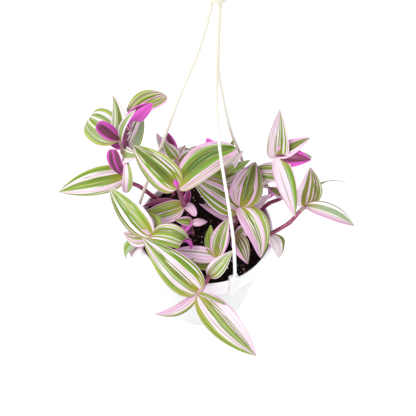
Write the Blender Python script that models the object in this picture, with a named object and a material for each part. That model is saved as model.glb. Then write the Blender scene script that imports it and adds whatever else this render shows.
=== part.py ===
"""Hanging pot of striped spiderwort.

A white plastic pot filled with soil hangs by three slim legs that snap over its rim and meet under
an open hook. Fourteen leafy stems stand in the soil and trail over the rim.

The origin is the point inside the top of the hook that bears on a rail or a ceiling hook, +Z is up
and -Y is the side that faces the viewer. Everything below the hook is laid out in millimetres round
the rim's centre: right, away from the viewer, up.
"""
import math

import bmesh
import bpy
import numpy as np

MM = 0.001

# Driving dimensions, in millimetres
GAP = 0.3
HOOK_TO_RIM = 362.0
RIM_RADIUS = 75.0
RIM_WALL = 2.7
BAND_HEIGHT = 23.0
BODY_TOP_RADIUS = 71.0
BASE_RADIUS = 53.0
POT_HEIGHT = 120.0
WALL = 1.6
SOIL_DEPTH = 9.5
ROUND_SIDES = 36

DRAIN_HOLES = 6
DRAIN_RADIUS = 3.5
DRAIN_CIRCLE = 30.0

HUB_BOTTOM = 318.0
HUB_RADIUS = 9.0
LEG_CIRCLE = 5.0
LEG_SOCKET_DEPTH = 8.0
LEG_RADIUS_LOW = 1.8
LEG_RADIUS_HIGH = 1.2
HOOK_WIRE = 2.3
HOOK_RADIUS = 11.4

CLIP_WIDTH = 10.0

STEM_BURIED = 13.0
STEM_COLLAR = 3.0
STEM_SIDES = 6
HOLE_SIDES = 10
BLADE_THICKNESS = 0.9
LEAST_HALF_WIDTH = 0.3

# Grid of a leaf at least this wide: steps from root to tip and from edge to edge
BLADE_GRIDS = [(34, 7, 4), (23, 7, 2), (16, 6, 2), (10, 5, 2), (0, 4, 2)]

# Directions that the upper side of a leaf can face
FRONT_UP = (0, -0.6, 0.8)
BACK_DOWN = (0, 0.6, -0.8)

# Hanger legs: the way each one points round the rim, in degrees, and its bow from the rim to the hub,
# as radius, step aside and height
LEGS = {
    "hanger_leg_front": (-63, [(74, 0, 17), (65, 0, 58), (53, 0, 87), (41, 0, 112), (29, 0, 136),
                               (19, 0, 162), (11, 0, 196), (7, 0, 230), (6, 0, 259), (5, 0, 290)]),
    "hanger_leg_back": (57, [(74, 0, 12), (71.5, 0, 31), (63.5, 0, 60), (51, 0, 91), (41, 0, 115),
                             (30, 0, 148), (18, 0, 190), (9, 0, 223), (6, 0, 252), (5, 0, 290)]),
    "hanger_leg_left": (177, [(74, 0, 12), (72, -3, 27), (64, -9, 59), (57, -13, 82), (51, -13, 105),
                              (44, -9, 137), (30, -3, 198), (15, 0, 254), (6, 0, 300)]),
}


def leaf(place, reach, width, face=FRONT_UP, arch=4, fold=20, curl=0, twist=0, sway=0,
         turn=(0.0, 1.0), swell=(0.5, 0.93)):
    """One leaf's design.

    place is its share of the way up the stem and reach goes from its root to its tip. face is the
    way that its upper side looks. arch lifts its middle towards that side, curl drops its tip and
    sway bends it sideways. fold raises its halves like a V and twist turns it about its own length,
    between the two shares in turn. swell is the pair of powers that shape its outline.
    """
    return dict(place=place, reach=reach, width=width, face=face, arch=arch, fold=fold, curl=curl,
                twist=twist, sway=sway, turn=turn, swell=swell)


# Each leafy stem: the points that it passes after it leaves the soil, its radius at the foot and at
# the end, and its leaves. The first point is where it stands in the soil.
STEMS = {
    "leafy_stem_upper_left": dict(
        foot=(-52, 38), route=[(-62, 35, 8), (-74, 32, 25), (-85.5, 29, 38), (-88, 36, 55),
                               (-91, 42, 72), (-95, 42, 90)],
        radii=(2.6, 2.2), leaves=[
            leaf(0.99, (-41, 33, 2), 39, (-0.2, -0.55, 0.8), arch=6, fold=14, curl=9, swell=(0.5, 0.75)),
            leaf(0.99, (-21, -8, 31), 17, BACK_DOWN, arch=-3, swell=(0.6, 0.42)),
            leaf(0.95, (-11, 32, 39), 30, (-0.4, -0.8, 0.4), arch=2, fold=24, sway=9, swell=(0.4, 1.1)),
            leaf(0.86, (-1, 38, 23), 14, (0.3, -0.8, 0.45), arch=2, fold=22, sway=4),
            leaf(0.96, (34, 3, 58), 18, (-0.6, -0.75, 0.33), arch=5, fold=12, twist=150, sway=-3,
                 turn=(0.36, 0.6), swell=(1.4, 0.8)),
            leaf(0.95, (18, -7, 59), 8.5, (-0.35, -0.7, 0.6), fold=8, sway=-3.5, swell=(0.5, 0.8)),
            leaf(0.96, (45, 43, 30), 26, (-0.4, -0.75, 0.6), arch=6, fold=14, sway=-11, swell=(1.8, 0.6)),
            leaf(0.94, (-12, -3, 1), 14, (0.1, 0.6, -0.6), arch=1, fold=10, swell=(0.2, 0.9)),
            leaf(0.84, (3, -4, 37), 10, (0, 0.6, -0.7), arch=-1, fold=30, swell=(0.2, 0.4)),
            leaf(0.8, (17, 14, 54), 20, (0.2, -0.7, 0.65), arch=2, fold=14, sway=1, swell=(0.4, 0.6)),
            leaf(0.63, (-73, -18, -15), 31, arch=9, fold=16),
            leaf(0.58, (-15, 1, 47), 18, (0.3, 0.7, -0.5), arch=-3, fold=14, sway=4, swell=(0.45, 0.35)),
            leaf(0.85, (4, -29, -35), 13, (-0.3, -0.6, 0.8), arch=9, fold=18, sway=-7, swell=(1.2, 0.5)),
            leaf(0.84, (18, -8, 6), 19, (-0.2, -0.6, 0.8), arch=6, fold=14, sway=3, swell=(0.3, 0.8)),
        ]),
    "leafy_stem_centre": dict(
        foot=(-18, 24), route=[(-24, 15, 16), (-27, 0, 51), (-30, -14, 84)],
        radii=(2.6, 2.2), leaves=[
            leaf(0.98, (-49, 31, 28), 34, arch=7, fold=18, curl=4, swell=(0.38, 0.85)),
            leaf(0.98, (58, 32, 32), 34, arch=5, fold=18, curl=5, sway=-7, swell=(0.45, 0.5)),
            leaf(0.97, (-4, 2, 12), 7, BACK_DOWN, arch=-1, fold=30),
            leaf(0.38, (-47, -14, -1), 24, arch=1, fold=14, sway=-4),
            leaf(0.31, (-48, -4, 2), 9, BACK_DOWN, arch=-3, fold=16, sway=-6),
            leaf(0.36, (14, -18, 8), 10, fold=12, sway=-3, swell=(0.5, 0.4)),
            leaf(0.33, (4, 6, 23), 8, BACK_DOWN, arch=-1, fold=34, swell=(0.5, 0.5)),
            leaf(0.27, (-19, 4, 9), 7, arch=5, fold=24),
        ]),
    "leafy_stem_back_left": dict(
        foot=(-28, 50), route=[(-32, 60, 20), (-36, 66, 36)],
        radii=(2.2, 1.8), leaves=[
            leaf(0.97, (-16, 10, 19), 18, (0.1, -0.7, 0.6), arch=3, fold=22),
            leaf(0.98, (-24, 18, 22), 16, (0.3, -0.6, 0.6), arch=3, fold=26, sway=-3),
            leaf(0.98, (-13, 15, 28), 11, (0.2, 0.7, -0.5), arch=2, swell=(0.5, 0.6)),
            leaf(0.9, (-26, 20, -8), 26, (-0.2, -0.1, 0.9), arch=6),
            leaf(0.9, (20, 26, -12), 26, (0.2, 0.2, 0.9), arch=6),
            leaf(0.98, (10, 16, 11), 6, arch=6, fold=30, curl=6),
        ]),
    "leafy_stem_back_right": dict(
        foot=(21, 41), route=[(20, 50, 22), (20, 54, 38)],
        radii=(2.2, 1.8), leaves=[
            leaf(0.98, (-24, 24, 23), 15, (0, 0.7, -0.5), arch=-3, swell=(0.5, 0.6)),
            leaf(0.98, (5, 20, 28), 12, arch=2, fold=25),
            leaf(0.97, (16, -13, 49), 13, fold=18),
            leaf(0.93, (24, -17, 42), 14, (0.1, -0.5, 0.8), arch=5, fold=16, sway=2),
            leaf(0.75, (12, -16, 32), 11, arch=3, fold=16),
        ]),
    "leafy_stem_right": dict(
        foot=(33, 13), route=[(36, 8, 14), (37, 6, 34)],
        radii=(2.5, 2.2), leaves=[
            leaf(0.98, (13, 38, 31), 37, arch=6),
            leaf(0.98, (26, -46, -29), 31, (0.3, -0.5, 0.8), arch=10, curl=4, sway=-3, swell=(0.42, 0.8)),
            leaf(0.6, (9, 30, 48), 16, (-0.3, -0.6, 0.8), arch=1, fold=35),
            leaf(0.95, (10, 34, 38), 8, (-0.5, -0.6, 0.5), arch=3, fold=35),
            leaf(0.8, (-55, 26, 23), 31, fold=12, sway=1),
            leaf(0.42, (-42, 4, 21), 12, arch=3, fold=16),
            leaf(0.62, (33, 10, 30), 15, arch=3, fold=18),
        ]),
    "leafy_stem_right_tall": dict(
        foot=(58, 30), route=[(69, 30, 11), (84, 28, 30), (81, 35, 60), (70, 38, 85)],
        radii=(2.5, 2), leaves=[
            leaf(0.95, (-3, 22, 51), 29, (-0.1, -0.8, 0.5), arch=2, fold=40, swell=(0.3, 1)),
            leaf(0.98, (23, -50, -39), 23, (0.1, -0.75, 0.6), arch=9, fold=22),
            leaf(0.98, (35, -12, 10), 23, (0, 0.6, -0.7), arch=-5, fold=24),
            leaf(0.98, (33, 7, 23), 18, (0, -0.5, 0.8), fold=25),
            leaf(0.96, (41, 16, -15), 16, (0.4, -0.5, 0.6), arch=1, fold=22, curl=3),
            leaf(0.76, (-34, 10, -13), 22, arch=5),
            leaf(0.5, (-18, 4, 8), 12, arch=3, fold=25),
        ]),
    "leafy_stem_right_long": dict(
        foot=(63, -5), route=[(73.5, -6, 5.5), (90, -1, 18), (99, 4, 30), (106, 6, 42)],
        radii=(2.5, 2.2), leaves=[
            leaf(0.98, (0, 14, 48), 31, (0.32, -0.85, 0.35), arch=3, fold=18),
            leaf(0.98, (54, -14, -12), 22, (0, -0.4, 0.9), arch=12, fold=45),
            leaf(0.98, (46, 30, 6), 15, (0, 0.8, 0.62), arch=13, fold=10),
            leaf(0.33, (12, -22, -13), 24, (0.6, -0.3, 0.7), arch=5, fold=12),
        ]),
    "leafy_stem_front_left": dict(
        foot=(-32, -8), route=[(-44, -24, 14), (-57, -35, 25)],
        radii=(2.5, 2.2), leaves=[
            leaf(0.98, (-48, 44, 25), 29, arch=5, fold=16),
            leaf(0.97, (-15, 29, 4), 26, arch=0, fold=10, sway=5),
            leaf(0.98, (45, -14, 11), 26, (0, -0.3, 0.9), arch=14, fold=18, curl=9, twist=140,
                 turn=(0.78, 0.97), swell=(0.5, 0.45)),
            leaf(0.98, (-30, 6, -3), 20, arch=2, sway=-4),
            leaf(0.98, (-26, -6, -39), 12, (-0.5, -0.6, 0.5), arch=10, fold=22, sway=7),
            leaf(0.98, (-21, -2, -38), 11, (-0.3, -0.8, 0.5), arch=8, fold=22, sway=4),
        ]),
    "leafy_stem_front": dict(
        foot=(12, -46), route=[(8, -64, 4), (3, -78, 6), (-4, -89, 2)],
        radii=(2.5, 2.3),
        branch=[(12, -46, -9), (15, -43, 0), (14, -45, 9)], branch_radii=(2.3, 2), leaves=[
            leaf(0.93, (-62, 35, 40), 37, (-0.1, -0.6, 0.8), arch=7, fold=16, sway=0.5,
                 swell=(0.42, 0.92)),
            leaf(0.98, (65, -43, -46), 35, (0.1, -0.7, 0.7), arch=10, fold=22),
            leaf(0.98, (-45, -16, -19), 13, (0, -0.4, 0.9), arch=2, fold=22, curl=-2, sway=-7,
                 swell=(0.45, 0.9)),
            leaf(0.97, (29, -14, 3), 5, (0.2, -0.5, 0.8), arch=9, swell=(0.4, 0.6)),
            leaf(0.62, (23, 14, 30), 18, fold=18),
        ], branch_leaves=[
            leaf(0.98, (11, 37, 22), 19, arch=5, fold=16, sway=-3),
            leaf(0.98, (-8, 31, 15), 15, sway=-3),
            leaf(0.95, (14, 34, 1), 9, arch=2, fold=10),
            leaf(0.97, (-47, 4, 3), 19, arch=2, fold=14),
            leaf(0.85, (-29, -6, 4), 16, arch=-1, fold=12, sway=-5),
            leaf(0.5, (12, -12, 4), 9, arch=2, fold=25),
        ]),
    "leafy_stem_inner_right": dict(
        foot=(34, -10), route=[(35, -13, 5)],
        radii=(2, 1.7), leaves=[
            leaf(0.97, (13, -32, -5), 20),
            leaf(0.93, (14, 14, 8), 14, arch=3),
        ]),
    "leafy_stem_inner_left": dict(
        foot=(-13, -4), route=[(-15, -3, 3), (-14, 2, 10)],
        radii=(2, 1.7), leaves=[
            leaf(0.6, (-21, -3, 1), 11, (0, 0.6, -0.6), arch=-2),
            leaf(0.93, (-19, -3, 6), 11, arch=3),
            leaf(0.9, (17, 2, 1), 9, arch=3),
            leaf(0.97, (-13, -14, -7), 9, (0.3, 0.5, -0.6), arch=-3, fold=26, swell=(0.5, 0.5)),
        ]),
    "leafy_stem_back": dict(
        foot=(-4, 60), route=[(-5, 67, 6), (-7, 79, 9), (-10, 92, 2)],
        radii=(2.4, 2), leaves=[
            leaf(0.98, (-29, 22, -28), 32, (-0.3, 0.5, 0.8), arch=12, fold=18),
            leaf(0.98, (30, 22, -34), 34, (0.3, 0.5, 0.7), arch=12, fold=18),
            leaf(0.97, (-3, 38, -46), 30, (0, 0.8, 0.5), arch=10, fold=18),
            leaf(0.7, (43, -8, -11), 20, (0.1, -0.2, 0.9), arch=5, fold=16),
        ]),
    "leafy_stem_rear_left": dict(
        foot=(-38, 50), route=[(-46, 60, 8), (-50, 70, 8)],
        radii=(2.2, 1.9), leaves=[
            leaf(0.98, (-10, 30, -36), 30, (-0.2, 0.7, 0.6), arch=12, fold=18),
            leaf(0.97, (-18, 20, -34), 24, (-0.6, 0.5, 0.5), arch=10, fold=18),
        ]),
    "leafy_stem_rear_right": dict(
        foot=(44, 40), route=[(53, 50, 8), (58, 58, 7)],
        radii=(2.2, 1.9), leaves=[
            leaf(0.98, (4, 32, -38), 32, (0.2, 0.7, 0.6), arch=12, fold=18),
            leaf(0.97, (14, 14, -40), 24, (0.6, 0.5, 0.4), arch=10, fold=18),
        ]),
}


def paint(name, color, roughness):
    """A plain material of this colour."""
    material = bpy.data.materials.new(name)
    material.use_nodes = True
    shader = material.node_tree.nodes["Principled BSDF"]
    shader.inputs["Base Color"].default_value = (*color, 1.0)
    shader.inputs["Roughness"].default_value = roughness
    material.diffuse_color = (*color, 1.0)
    return material


def add_body(name, points, faces):
    """A new object from points in millimetres."""
    mesh = bpy.data.meshes.new(name)
    mesh.from_pydata([tuple(point) for point in np.asarray(points, float) * MM], [],
                     [tuple(int(i) for i in face) for face in faces])
    body = bpy.data.objects.new(name, mesh)
    bpy.context.scene.collection.objects.link(body)
    return body


def settle(body):
    """Replace the object's mesh with what its modifiers make of it."""
    graph = bpy.context.evaluated_depsgraph_get()
    mesh = bpy.data.meshes.new_from_object(body.evaluated_get(graph))
    body.modifiers.clear()
    body.data = mesh


def combine(body, others, operation, solver='EXACT'):
    """Join the other objects to the body, or cut them from it, and remove them."""
    group = bpy.data.collections.new(body.name + "_operands")
    for other in others:
        group.objects.link(other)
    change = body.modifiers.new("combine", 'BOOLEAN')
    change.operation = operation
    change.operand_type = 'COLLECTION'
    change.collection = group
    change.solver = solver
    settle(body)
    for other in others:
        bpy.data.objects.remove(other)
    bpy.data.collections.remove(group)


def keep_largest(body):
    """Drop loose scraps and sealed hollows, which are smaller shells of the same mesh."""
    shells = bmesh.new()
    shells.from_mesh(body.data)
    unseen = set(shells.verts)
    groups = []
    while unseen:
        group = {unseen.pop()}
        edge_of_group = list(group)
        while edge_of_group:
            vertex = edge_of_group.pop()
            for edge in vertex.link_edges:
                other = edge.other_vert(vertex)
                if other in unseen:
                    unseen.discard(other)
                    group.add(other)
                    edge_of_group.append(other)
        groups.append(group)
    groups.sort(key=len, reverse=True)
    for group in groups[1:]:
        bmesh.ops.delete(shells, geom=list(group), context='VERTS')
    shells.to_mesh(body.data)
    shells.free()


def smooth_route(points, steps):
    """A smooth curve through the points, read at this many steps from each to the next."""
    points = np.asarray(points, float)
    ends = [2 * points[0] - points[1], 2 * points[-1] - points[-2]]
    knots = np.vstack([ends[0], points, ends[1]])
    t = np.linspace(0, 1, steps, endpoint=False)[:, None]
    curve = []
    for before, start, end, after in zip(knots, knots[1:], knots[2:], knots[3:]):
        curve.append(0.5 * (2 * start + (end - before) * t
                            + (2 * before - 5 * start + 4 * end - after) * t ** 2
                            + (3 * start - before - 3 * end + after) * t ** 3))
    return np.vstack(curve + [points[-1:]])


def tube(name, route, radii, sides):
    """A closed round rod along the route. Each ring stands square to the route there."""
    route = np.asarray(route, float)
    ahead = np.gradient(route, axis=0)
    ahead /= np.linalg.norm(ahead, axis=1, keepdims=True)
    angles = np.linspace(0, 2 * math.pi, sides, endpoint=False)[:, None]
    across = np.array([1.0, 0.31, 0.17])
    rings = []
    for point, direction, radius in zip(route, ahead, radii):
        across = across - np.dot(across, direction) * direction
        across /= np.linalg.norm(across)
        up = np.cross(direction, across)
        rings.append(point + radius * (np.cos(angles) * across + np.sin(angles) * up))
    points = np.vstack(rings)
    faces = [list(range(sides))[::-1], list(range(len(points) - sides, len(points)))]
    for ring in range(len(route) - 1):
        for side in range(sides):
            a = ring * sides + side
            b = ring * sides + (side + 1) % sides
            faces.append([a, b, b + sides, a + sides])
    return add_body(name, points, faces)


def turned(name, outline, sides=ROUND_SIDES):
    """A solid turned about Z. The outline runs from the axis at the bottom to the axis on top."""
    angles = np.linspace(0, 2 * math.pi, sides, endpoint=False)
    rings = [[(radius * math.cos(a), radius * math.sin(a), height) for a in angles]
             for radius, height in outline[1:-1]]
    points = [(0, 0, outline[0][1]), (0, 0, outline[-1][1])] + [p for ring in rings for p in ring]
    faces = []
    last = 2 + (len(rings) - 1) * sides
    for side in range(sides):
        after = (side + 1) % sides
        faces.append([0, 2 + after, 2 + side])
        faces.append([1, last + side, last + after])
        for ring in range(len(rings) - 1):
            low = 2 + ring * sides
            faces.append([low + side, low + after, low + sides + after, low + sides + side])
    return add_body(name, points, faces)


def hole_cutter(center, radius, low, high):
    """An upright prism that leaves this radius clear inside its flat sides."""
    corner = radius / math.cos(math.pi / HOLE_SIDES)
    return tube("hole", [(*center, low), (*center, high)], [corner, corner], HOLE_SIDES)


def inset(outline, distance):
    """The outline moved this far to its left, with its corners kept sharp."""
    points = np.asarray(outline, float)
    ahead = np.diff(points, axis=0)
    ahead /= np.linalg.norm(ahead, axis=1, keepdims=True)
    left = np.column_stack([-ahead[:, 1], ahead[:, 0]])
    moved = [points[0] + left[0] * distance]
    for corner, before, after in zip(points[1:-1], left, left[1:]):
        miter = before + after
        moved.append(corner + miter * distance / (1 + np.dot(before, after)))
    moved.append(points[-1] + left[-1] * distance)
    return [tuple(point) for point in moved]


def inner_wall():
    """The pot's inside from the rim's lip down to the floor's middle, as radius and height."""
    floor = 4.0 - POT_HEIGHT
    return [(RIM_RADIUS - RIM_WALL, -1.2), (RIM_RADIUS - RIM_WALL - 0.2, 3.0 - BAND_HEIGHT),
            (BODY_TOP_RADIUS - WALL, -BAND_HEIGHT - 0.2), (BASE_RADIUS - WALL, floor), (0, floor)]


def make_pot():
    """A tapered pot with a band round its rim, a foot ring and drain holes."""
    lip = RIM_RADIUS - RIM_WALL / 2
    outside = [(0, 2.0 - POT_HEIGHT), (BASE_RADIUS - 6.5, 2.0 - POT_HEIGHT),
               (BASE_RADIUS - 5.5, -POT_HEIGHT), (BASE_RADIUS - 1.0, -POT_HEIGHT),
               (BASE_RADIUS + 0.2, 1.2 - POT_HEIGHT), (BODY_TOP_RADIUS, -BAND_HEIGHT),
               (RIM_RADIUS - 2.0, -BAND_HEIGHT), (RIM_RADIUS - 1.0, 0.8 - BAND_HEIGHT),
               (RIM_RADIUS - 0.4, 2.0 - BAND_HEIGHT), (RIM_RADIUS, -1.2),
               (RIM_RADIUS - 0.6, -0.3), (lip, 0), (RIM_RADIUS - RIM_WALL + 0.6, -0.3)]
    pot = turned("pot", outside + inner_wall())
    drains = []
    for index in range(DRAIN_HOLES):
        angle = 2 * math.pi * index / DRAIN_HOLES
        center = (DRAIN_CIRCLE * math.cos(angle), DRAIN_CIRCLE * math.sin(angle))
        drains.append(hole_cutter(center, DRAIN_RADIUS, -POT_HEIGHT - 1, 6 - POT_HEIGHT))
    combine(pot, drains, 'DIFFERENCE')
    return pot


def make_soil():
    """Soil that fills the pot to a finger's width below the rim, with a plain hole for each stem."""
    side = inset(inner_wall()[::-1], GAP)
    top_radius = RIM_RADIUS - RIM_WALL - 0.1 - GAP
    draws = np.random.default_rng(7)
    surface = [(radius, -SOIL_DEPTH + draws.uniform(-0.8, 0.8)) for radius in (62, 45, 28, 12)]
    outline = [(0, side[0][1])] + side[1:-1] + [(top_radius, -SOIL_DEPTH)] + surface
    soil = turned("soil", outline + [(0, -SOIL_DEPTH)])
    holes = []
    for design in STEMS.values():
        low = -SOIL_DEPTH - STEM_BURIED - GAP
        holes.append(hole_cutter(design["foot"], design["radii"][0] + GAP, low, 0))
    combine(soil, holes, 'DIFFERENCE')
    return soil


def make_hook():
    """The hub that the three legs plug into, and the open hook above it."""
    top = HUB_BOTTOM + 9.0
    hub = turned("hanger_hook", [(0, HUB_BOTTOM), (HUB_RADIUS - 1, HUB_BOTTOM),
                                 (HUB_RADIUS, HUB_BOTTOM + 1), (HUB_RADIUS, top),
                                 (HUB_RADIUS - 1.5, top + 2), (HOOK_WIRE + 1.2, top + 4),
                                 (HOOK_WIRE + 0.3, top + 6), (0, top + 6)], 20)
    middle = HOOK_TO_RIM - HOOK_RADIUS + HOOK_WIRE
    bends = [(0, 0, top + 3), (0, 0, top + 7)]
    for angle in range(-45, 211, 15):
        turn = math.radians(angle)
        bends.append((HOOK_RADIUS * math.cos(turn), 0, middle + HOOK_RADIUS * math.sin(turn)))
    shank = tube("shank", bends, np.full(len(bends), HOOK_WIRE), 10)
    combine(hub, [shank], 'UNION')
    sockets = []
    for way, _ in LEGS.values():
        turn = math.radians(way)
        center = (LEG_CIRCLE * math.cos(turn), LEG_CIRCLE * math.sin(turn))
        sockets.append(hole_cutter(center, LEG_RADIUS_HIGH + GAP, HUB_BOTTOM - 2,
                                   HUB_BOTTOM + LEG_SOCKET_DEPTH + GAP))
    combine(hub, sockets, 'DIFFERENCE')
    return hub


def make_leg(name, way, bow):
    """One bowed leg with the clip that straddles the rim. It is made pointing right, then turned."""
    inner = RIM_RADIUS - RIM_WALL - 0.7
    outer = RIM_RADIUS + GAP + 0.1
    under = -BAND_HEIGHT - GAP - 0.1
    outline = [(inner - 1.6, 4.2), (inner - 1.6, -6.0), (inner, -6.0), (inner, GAP), (outer, GAP),
               (outer, under), (outer - 2.1, under), (outer - 2.1, under - 2.0),
               (outer + 2.2, under - 2.0), (outer + 2.2, 4.2)]
    half = CLIP_WIDTH / 2
    count = len(outline)
    points = [(x, -half, z) for x, z in outline] + [(x, half, z) for x, z in outline]
    faces = [list(range(count)), list(range(2 * count - 1, count - 1, -1))]
    for corner in range(count):
        after = (corner + 1) % count
        faces.append([after, corner, corner + count, after + count])
    leg = add_body(name, points, faces)
    edges = leg.modifiers.new("round", 'BEVEL')
    edges.width = 0.5 * MM
    edges.segments = 1
    edges.limit_method = 'ANGLE'
    settle(leg)
    foot = (inner + outer) / 2
    route = [(foot, 0, 1.4), (foot, 0, 6)] + bow
    route += [(LEG_CIRCLE, 0, HUB_BOTTOM - 6), (LEG_CIRCLE, 0, HUB_BOTTOM + LEG_SOCKET_DEPTH)]
    rod = tube("rod", route, np.linspace(LEG_RADIUS_LOW, LEG_RADIUS_HIGH, len(route)), 8)
    combine(leg, [rod], 'UNION')
    leg.rotation_euler = (0, 0, math.radians(way))
    return leg


def outline_share(along, swell):
    """The blade's half width at each share of its length, as a share of the widest."""
    rise, fall = swell
    top = (rise / (rise + fall)) ** rise * (fall / (rise + fall)) ** fall
    return along ** rise * (1 - along) ** fall / top


def blade_surface(root, design, rows, columns):
    """The blade's middle surface, a grid of points from root to tip and from edge to edge."""
    reach = np.asarray(design["reach"], float)
    length = np.linalg.norm(reach)
    ahead = reach / length
    face = np.asarray(design["face"], float)
    face = face - np.dot(face, ahead) * ahead
    face /= np.linalg.norm(face)
    side = np.cross(ahead, face)
    along = np.linspace(0, 1, rows + 1)[:, None]
    across = np.linspace(-1, 1, columns + 1)[None, :]
    tip = np.clip((along - 0.55) / 0.45, 0, 1) ** 2
    half = 0.5 * design["width"] * np.maximum(outline_share(along, design["swell"]),
                                              0.18 * (1 - along) ** 3)
    half = np.maximum(half, LEAST_HALF_WIDTH)
    fold = np.radians(design["fold"]) * (1 - 0.35 * along)
    lateral = across * half * np.cos(fold)
    rise = (np.sqrt(across ** 2 + 0.01) - 0.1) * half * np.sin(fold)
    start, end = design["turn"]
    share = np.clip((along - start) / (end - start), 0, 1)
    twist = np.radians(design["twist"]) * share * share * (3 - 2 * share)
    sideways = lateral * np.cos(twist) - rise * np.sin(twist)
    outwards = lateral * np.sin(twist) + rise * np.cos(twist)
    forward = length * along - abs(design["curl"]) * 0.35 * tip
    outwards = outwards + 4 * design["arch"] * along * (1 - along) - design["curl"] * tip
    sideways = sideways + 4 * design["sway"] * along * (1 - along)
    return (np.asarray(root) + forward[..., None] * ahead + outwards[..., None] * face
            + sideways[..., None] * side)


def blade(name, root, design):
    """A leaf as a thin closed slab whose upper and lower faces are split into triangles alike."""
    rows, columns = next(grid for least, *grid in BLADE_GRIDS if design["width"] >= least)
    middle = blade_surface(root, design, rows, columns)
    normal = np.cross(np.gradient(middle, axis=0), np.gradient(middle, axis=1))
    normal /= np.linalg.norm(normal, axis=2, keepdims=True)
    upper = middle - normal * BLADE_THICKNESS / 2
    lower = middle + normal * BLADE_THICKNESS / 2
    count = (rows + 1) * (columns + 1)
    index = np.arange(count).reshape(rows + 1, columns + 1)
    a, b = index[:-1, :-1].ravel(), index[:-1, 1:].ravel()
    c, d = index[1:, 1:].ravel(), index[1:, :-1].ravel()
    lower_faces = np.vstack([np.column_stack([a, c, b]), np.column_stack([a, d, c])])
    upper_faces = lower_faces[:, ::-1]
    border = np.concatenate([index[0, :-1], index[:-1, -1], index[-1, :0:-1], index[:0:-1, 0]])
    after = np.roll(border, -1)
    edge = np.vstack([np.column_stack([border, after, after + count]),
                      np.column_stack([border, after + count, border + count])])
    points = np.vstack([lower.reshape(-1, 3), upper.reshape(-1, 3)])
    return add_body(name, points, np.vstack([lower_faces, upper_faces + count, edge]))


def point_on(route, share):
    """The point this share of the way along the route."""
    steps = np.linalg.norm(np.diff(route, axis=0), axis=1)
    distance = np.concatenate([[0], np.cumsum(steps)])
    return np.array([np.interp(share * distance[-1], distance, route[:, axis]) for axis in range(3)])


def grow(route, radii, leaves):
    """A stem along the route, and its leaves rooted on its middle line."""
    bodies = [tube("stem", route, np.linspace(*radii, len(route)), STEM_SIDES)]
    bodies += [blade("blade", point_on(route, design["place"]), design) for design in leaves]
    return bodies


def make_leafy_stem(name, design):
    """A stem that stands upright in the soil and then follows its route, fused with its leaves."""
    x, y = design["foot"]
    collar = (x, y, STEM_COLLAR - SOIL_DEPTH)
    route = smooth_route([collar] + design["route"], 2)
    route = np.vstack([[(x, y, -SOIL_DEPTH - STEM_BURIED), (x, y, -SOIL_DEPTH)], route])
    bodies = grow(route, design["radii"], design["leaves"])
    if "branch" in design:
        bodies += grow(smooth_route(design["branch"], 2), design["branch_radii"],
                       design["branch_leaves"])
    combine(bodies[0], bodies[1:], 'UNION', 'MANIFOLD')
    keep_largest(bodies[0])
    bodies[0].name = name
    return bodies[0]


def main():
    """Clear the scene, make each piece and hang them all below the hook."""
    for old in list(bpy.data.objects):
        bpy.data.objects.remove(old)
    rim_center = bpy.data.objects.new("rim_center", None)
    rim_center.location = (0, 0, -HOOK_TO_RIM * MM)
    bpy.context.scene.collection.objects.link(rim_center)
    white = (0.86, 0.86, 0.87)
    pieces = [(make_pot(), white, 0.35), (make_soil(), (0.03, 0.022, 0.018), 0.95),
              (make_hook(), white, 0.4)]
    for name, (way, bow) in LEGS.items():
        pieces.append((make_leg(name, way, bow), white, 0.4))
    for name, design in STEMS.items():
        pieces.append((make_leafy_stem(name, design), (0.42, 0.52, 0.22), 0.5))
    for body, color, roughness in pieces:
        body.parent = rim_center
        body.data.materials.clear()
        body.data.materials.append(paint(body.name, color, roughness))


main()
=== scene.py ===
"""Hanging pot of striped spiderwort, dressed for its picture.

Lengths are in millimetres round the middle of the pot's rim: right, away from the viewer, up. The rim
lies RIM_DROP below the frame's origin, and each piece is moved there and to metres when it is made.
"""
import math

import bmesh
import bpy
import numpy as np
from mathutils import Matrix, Vector


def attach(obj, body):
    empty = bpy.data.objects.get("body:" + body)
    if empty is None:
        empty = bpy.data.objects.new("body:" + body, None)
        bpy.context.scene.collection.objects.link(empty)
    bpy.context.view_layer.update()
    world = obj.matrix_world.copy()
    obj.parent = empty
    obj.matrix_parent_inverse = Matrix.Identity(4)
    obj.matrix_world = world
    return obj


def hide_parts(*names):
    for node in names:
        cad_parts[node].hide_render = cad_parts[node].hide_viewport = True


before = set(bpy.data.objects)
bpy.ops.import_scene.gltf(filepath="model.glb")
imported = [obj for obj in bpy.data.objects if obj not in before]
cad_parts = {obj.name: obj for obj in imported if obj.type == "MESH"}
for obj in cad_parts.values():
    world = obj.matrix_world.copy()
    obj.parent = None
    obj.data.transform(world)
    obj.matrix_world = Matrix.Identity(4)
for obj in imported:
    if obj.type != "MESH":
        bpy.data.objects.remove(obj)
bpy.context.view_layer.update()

METRES_PER_MM = 0.001
GAP = 0.3
# Slanting directions that no stalk, leg or hook follows, to set out rings from
SLANT_ACROSS = np.array([1.0, 0.31, 0.17])
SLANT_UP = np.array([0.13, 0.07, 0.99])

# Pot
RIM_DROP = 362.0
RIM_RADIUS = 75.0
RIM_WALL = 2.7
BAND_HEIGHT = 23.0
BODY_TOP_RADIUS = 71.0
BASE_RADIUS = 53.0
POT_HEIGHT = 120.0
WALL = 1.6
FLOOR_UNDERSIDE = 2.0 - POT_HEIGHT
FLOOR_TOP = 4.0 - POT_HEIGHT
POT_SIDES = 144
DRAIN_HOLES = 6
DRAIN_CIRCLE = 30.0
DRAIN_RADIUS = 3.5
DRAIN_SIDES = 32

# Soil
SOIL_DEPTH = 9.5
SOIL_RADIUS = RIM_RADIUS - RIM_WALL - 0.1 - GAP
SOIL_EYE = 0.6
SOIL_RINGS = 84
SOIL_SIDES = 300
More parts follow.
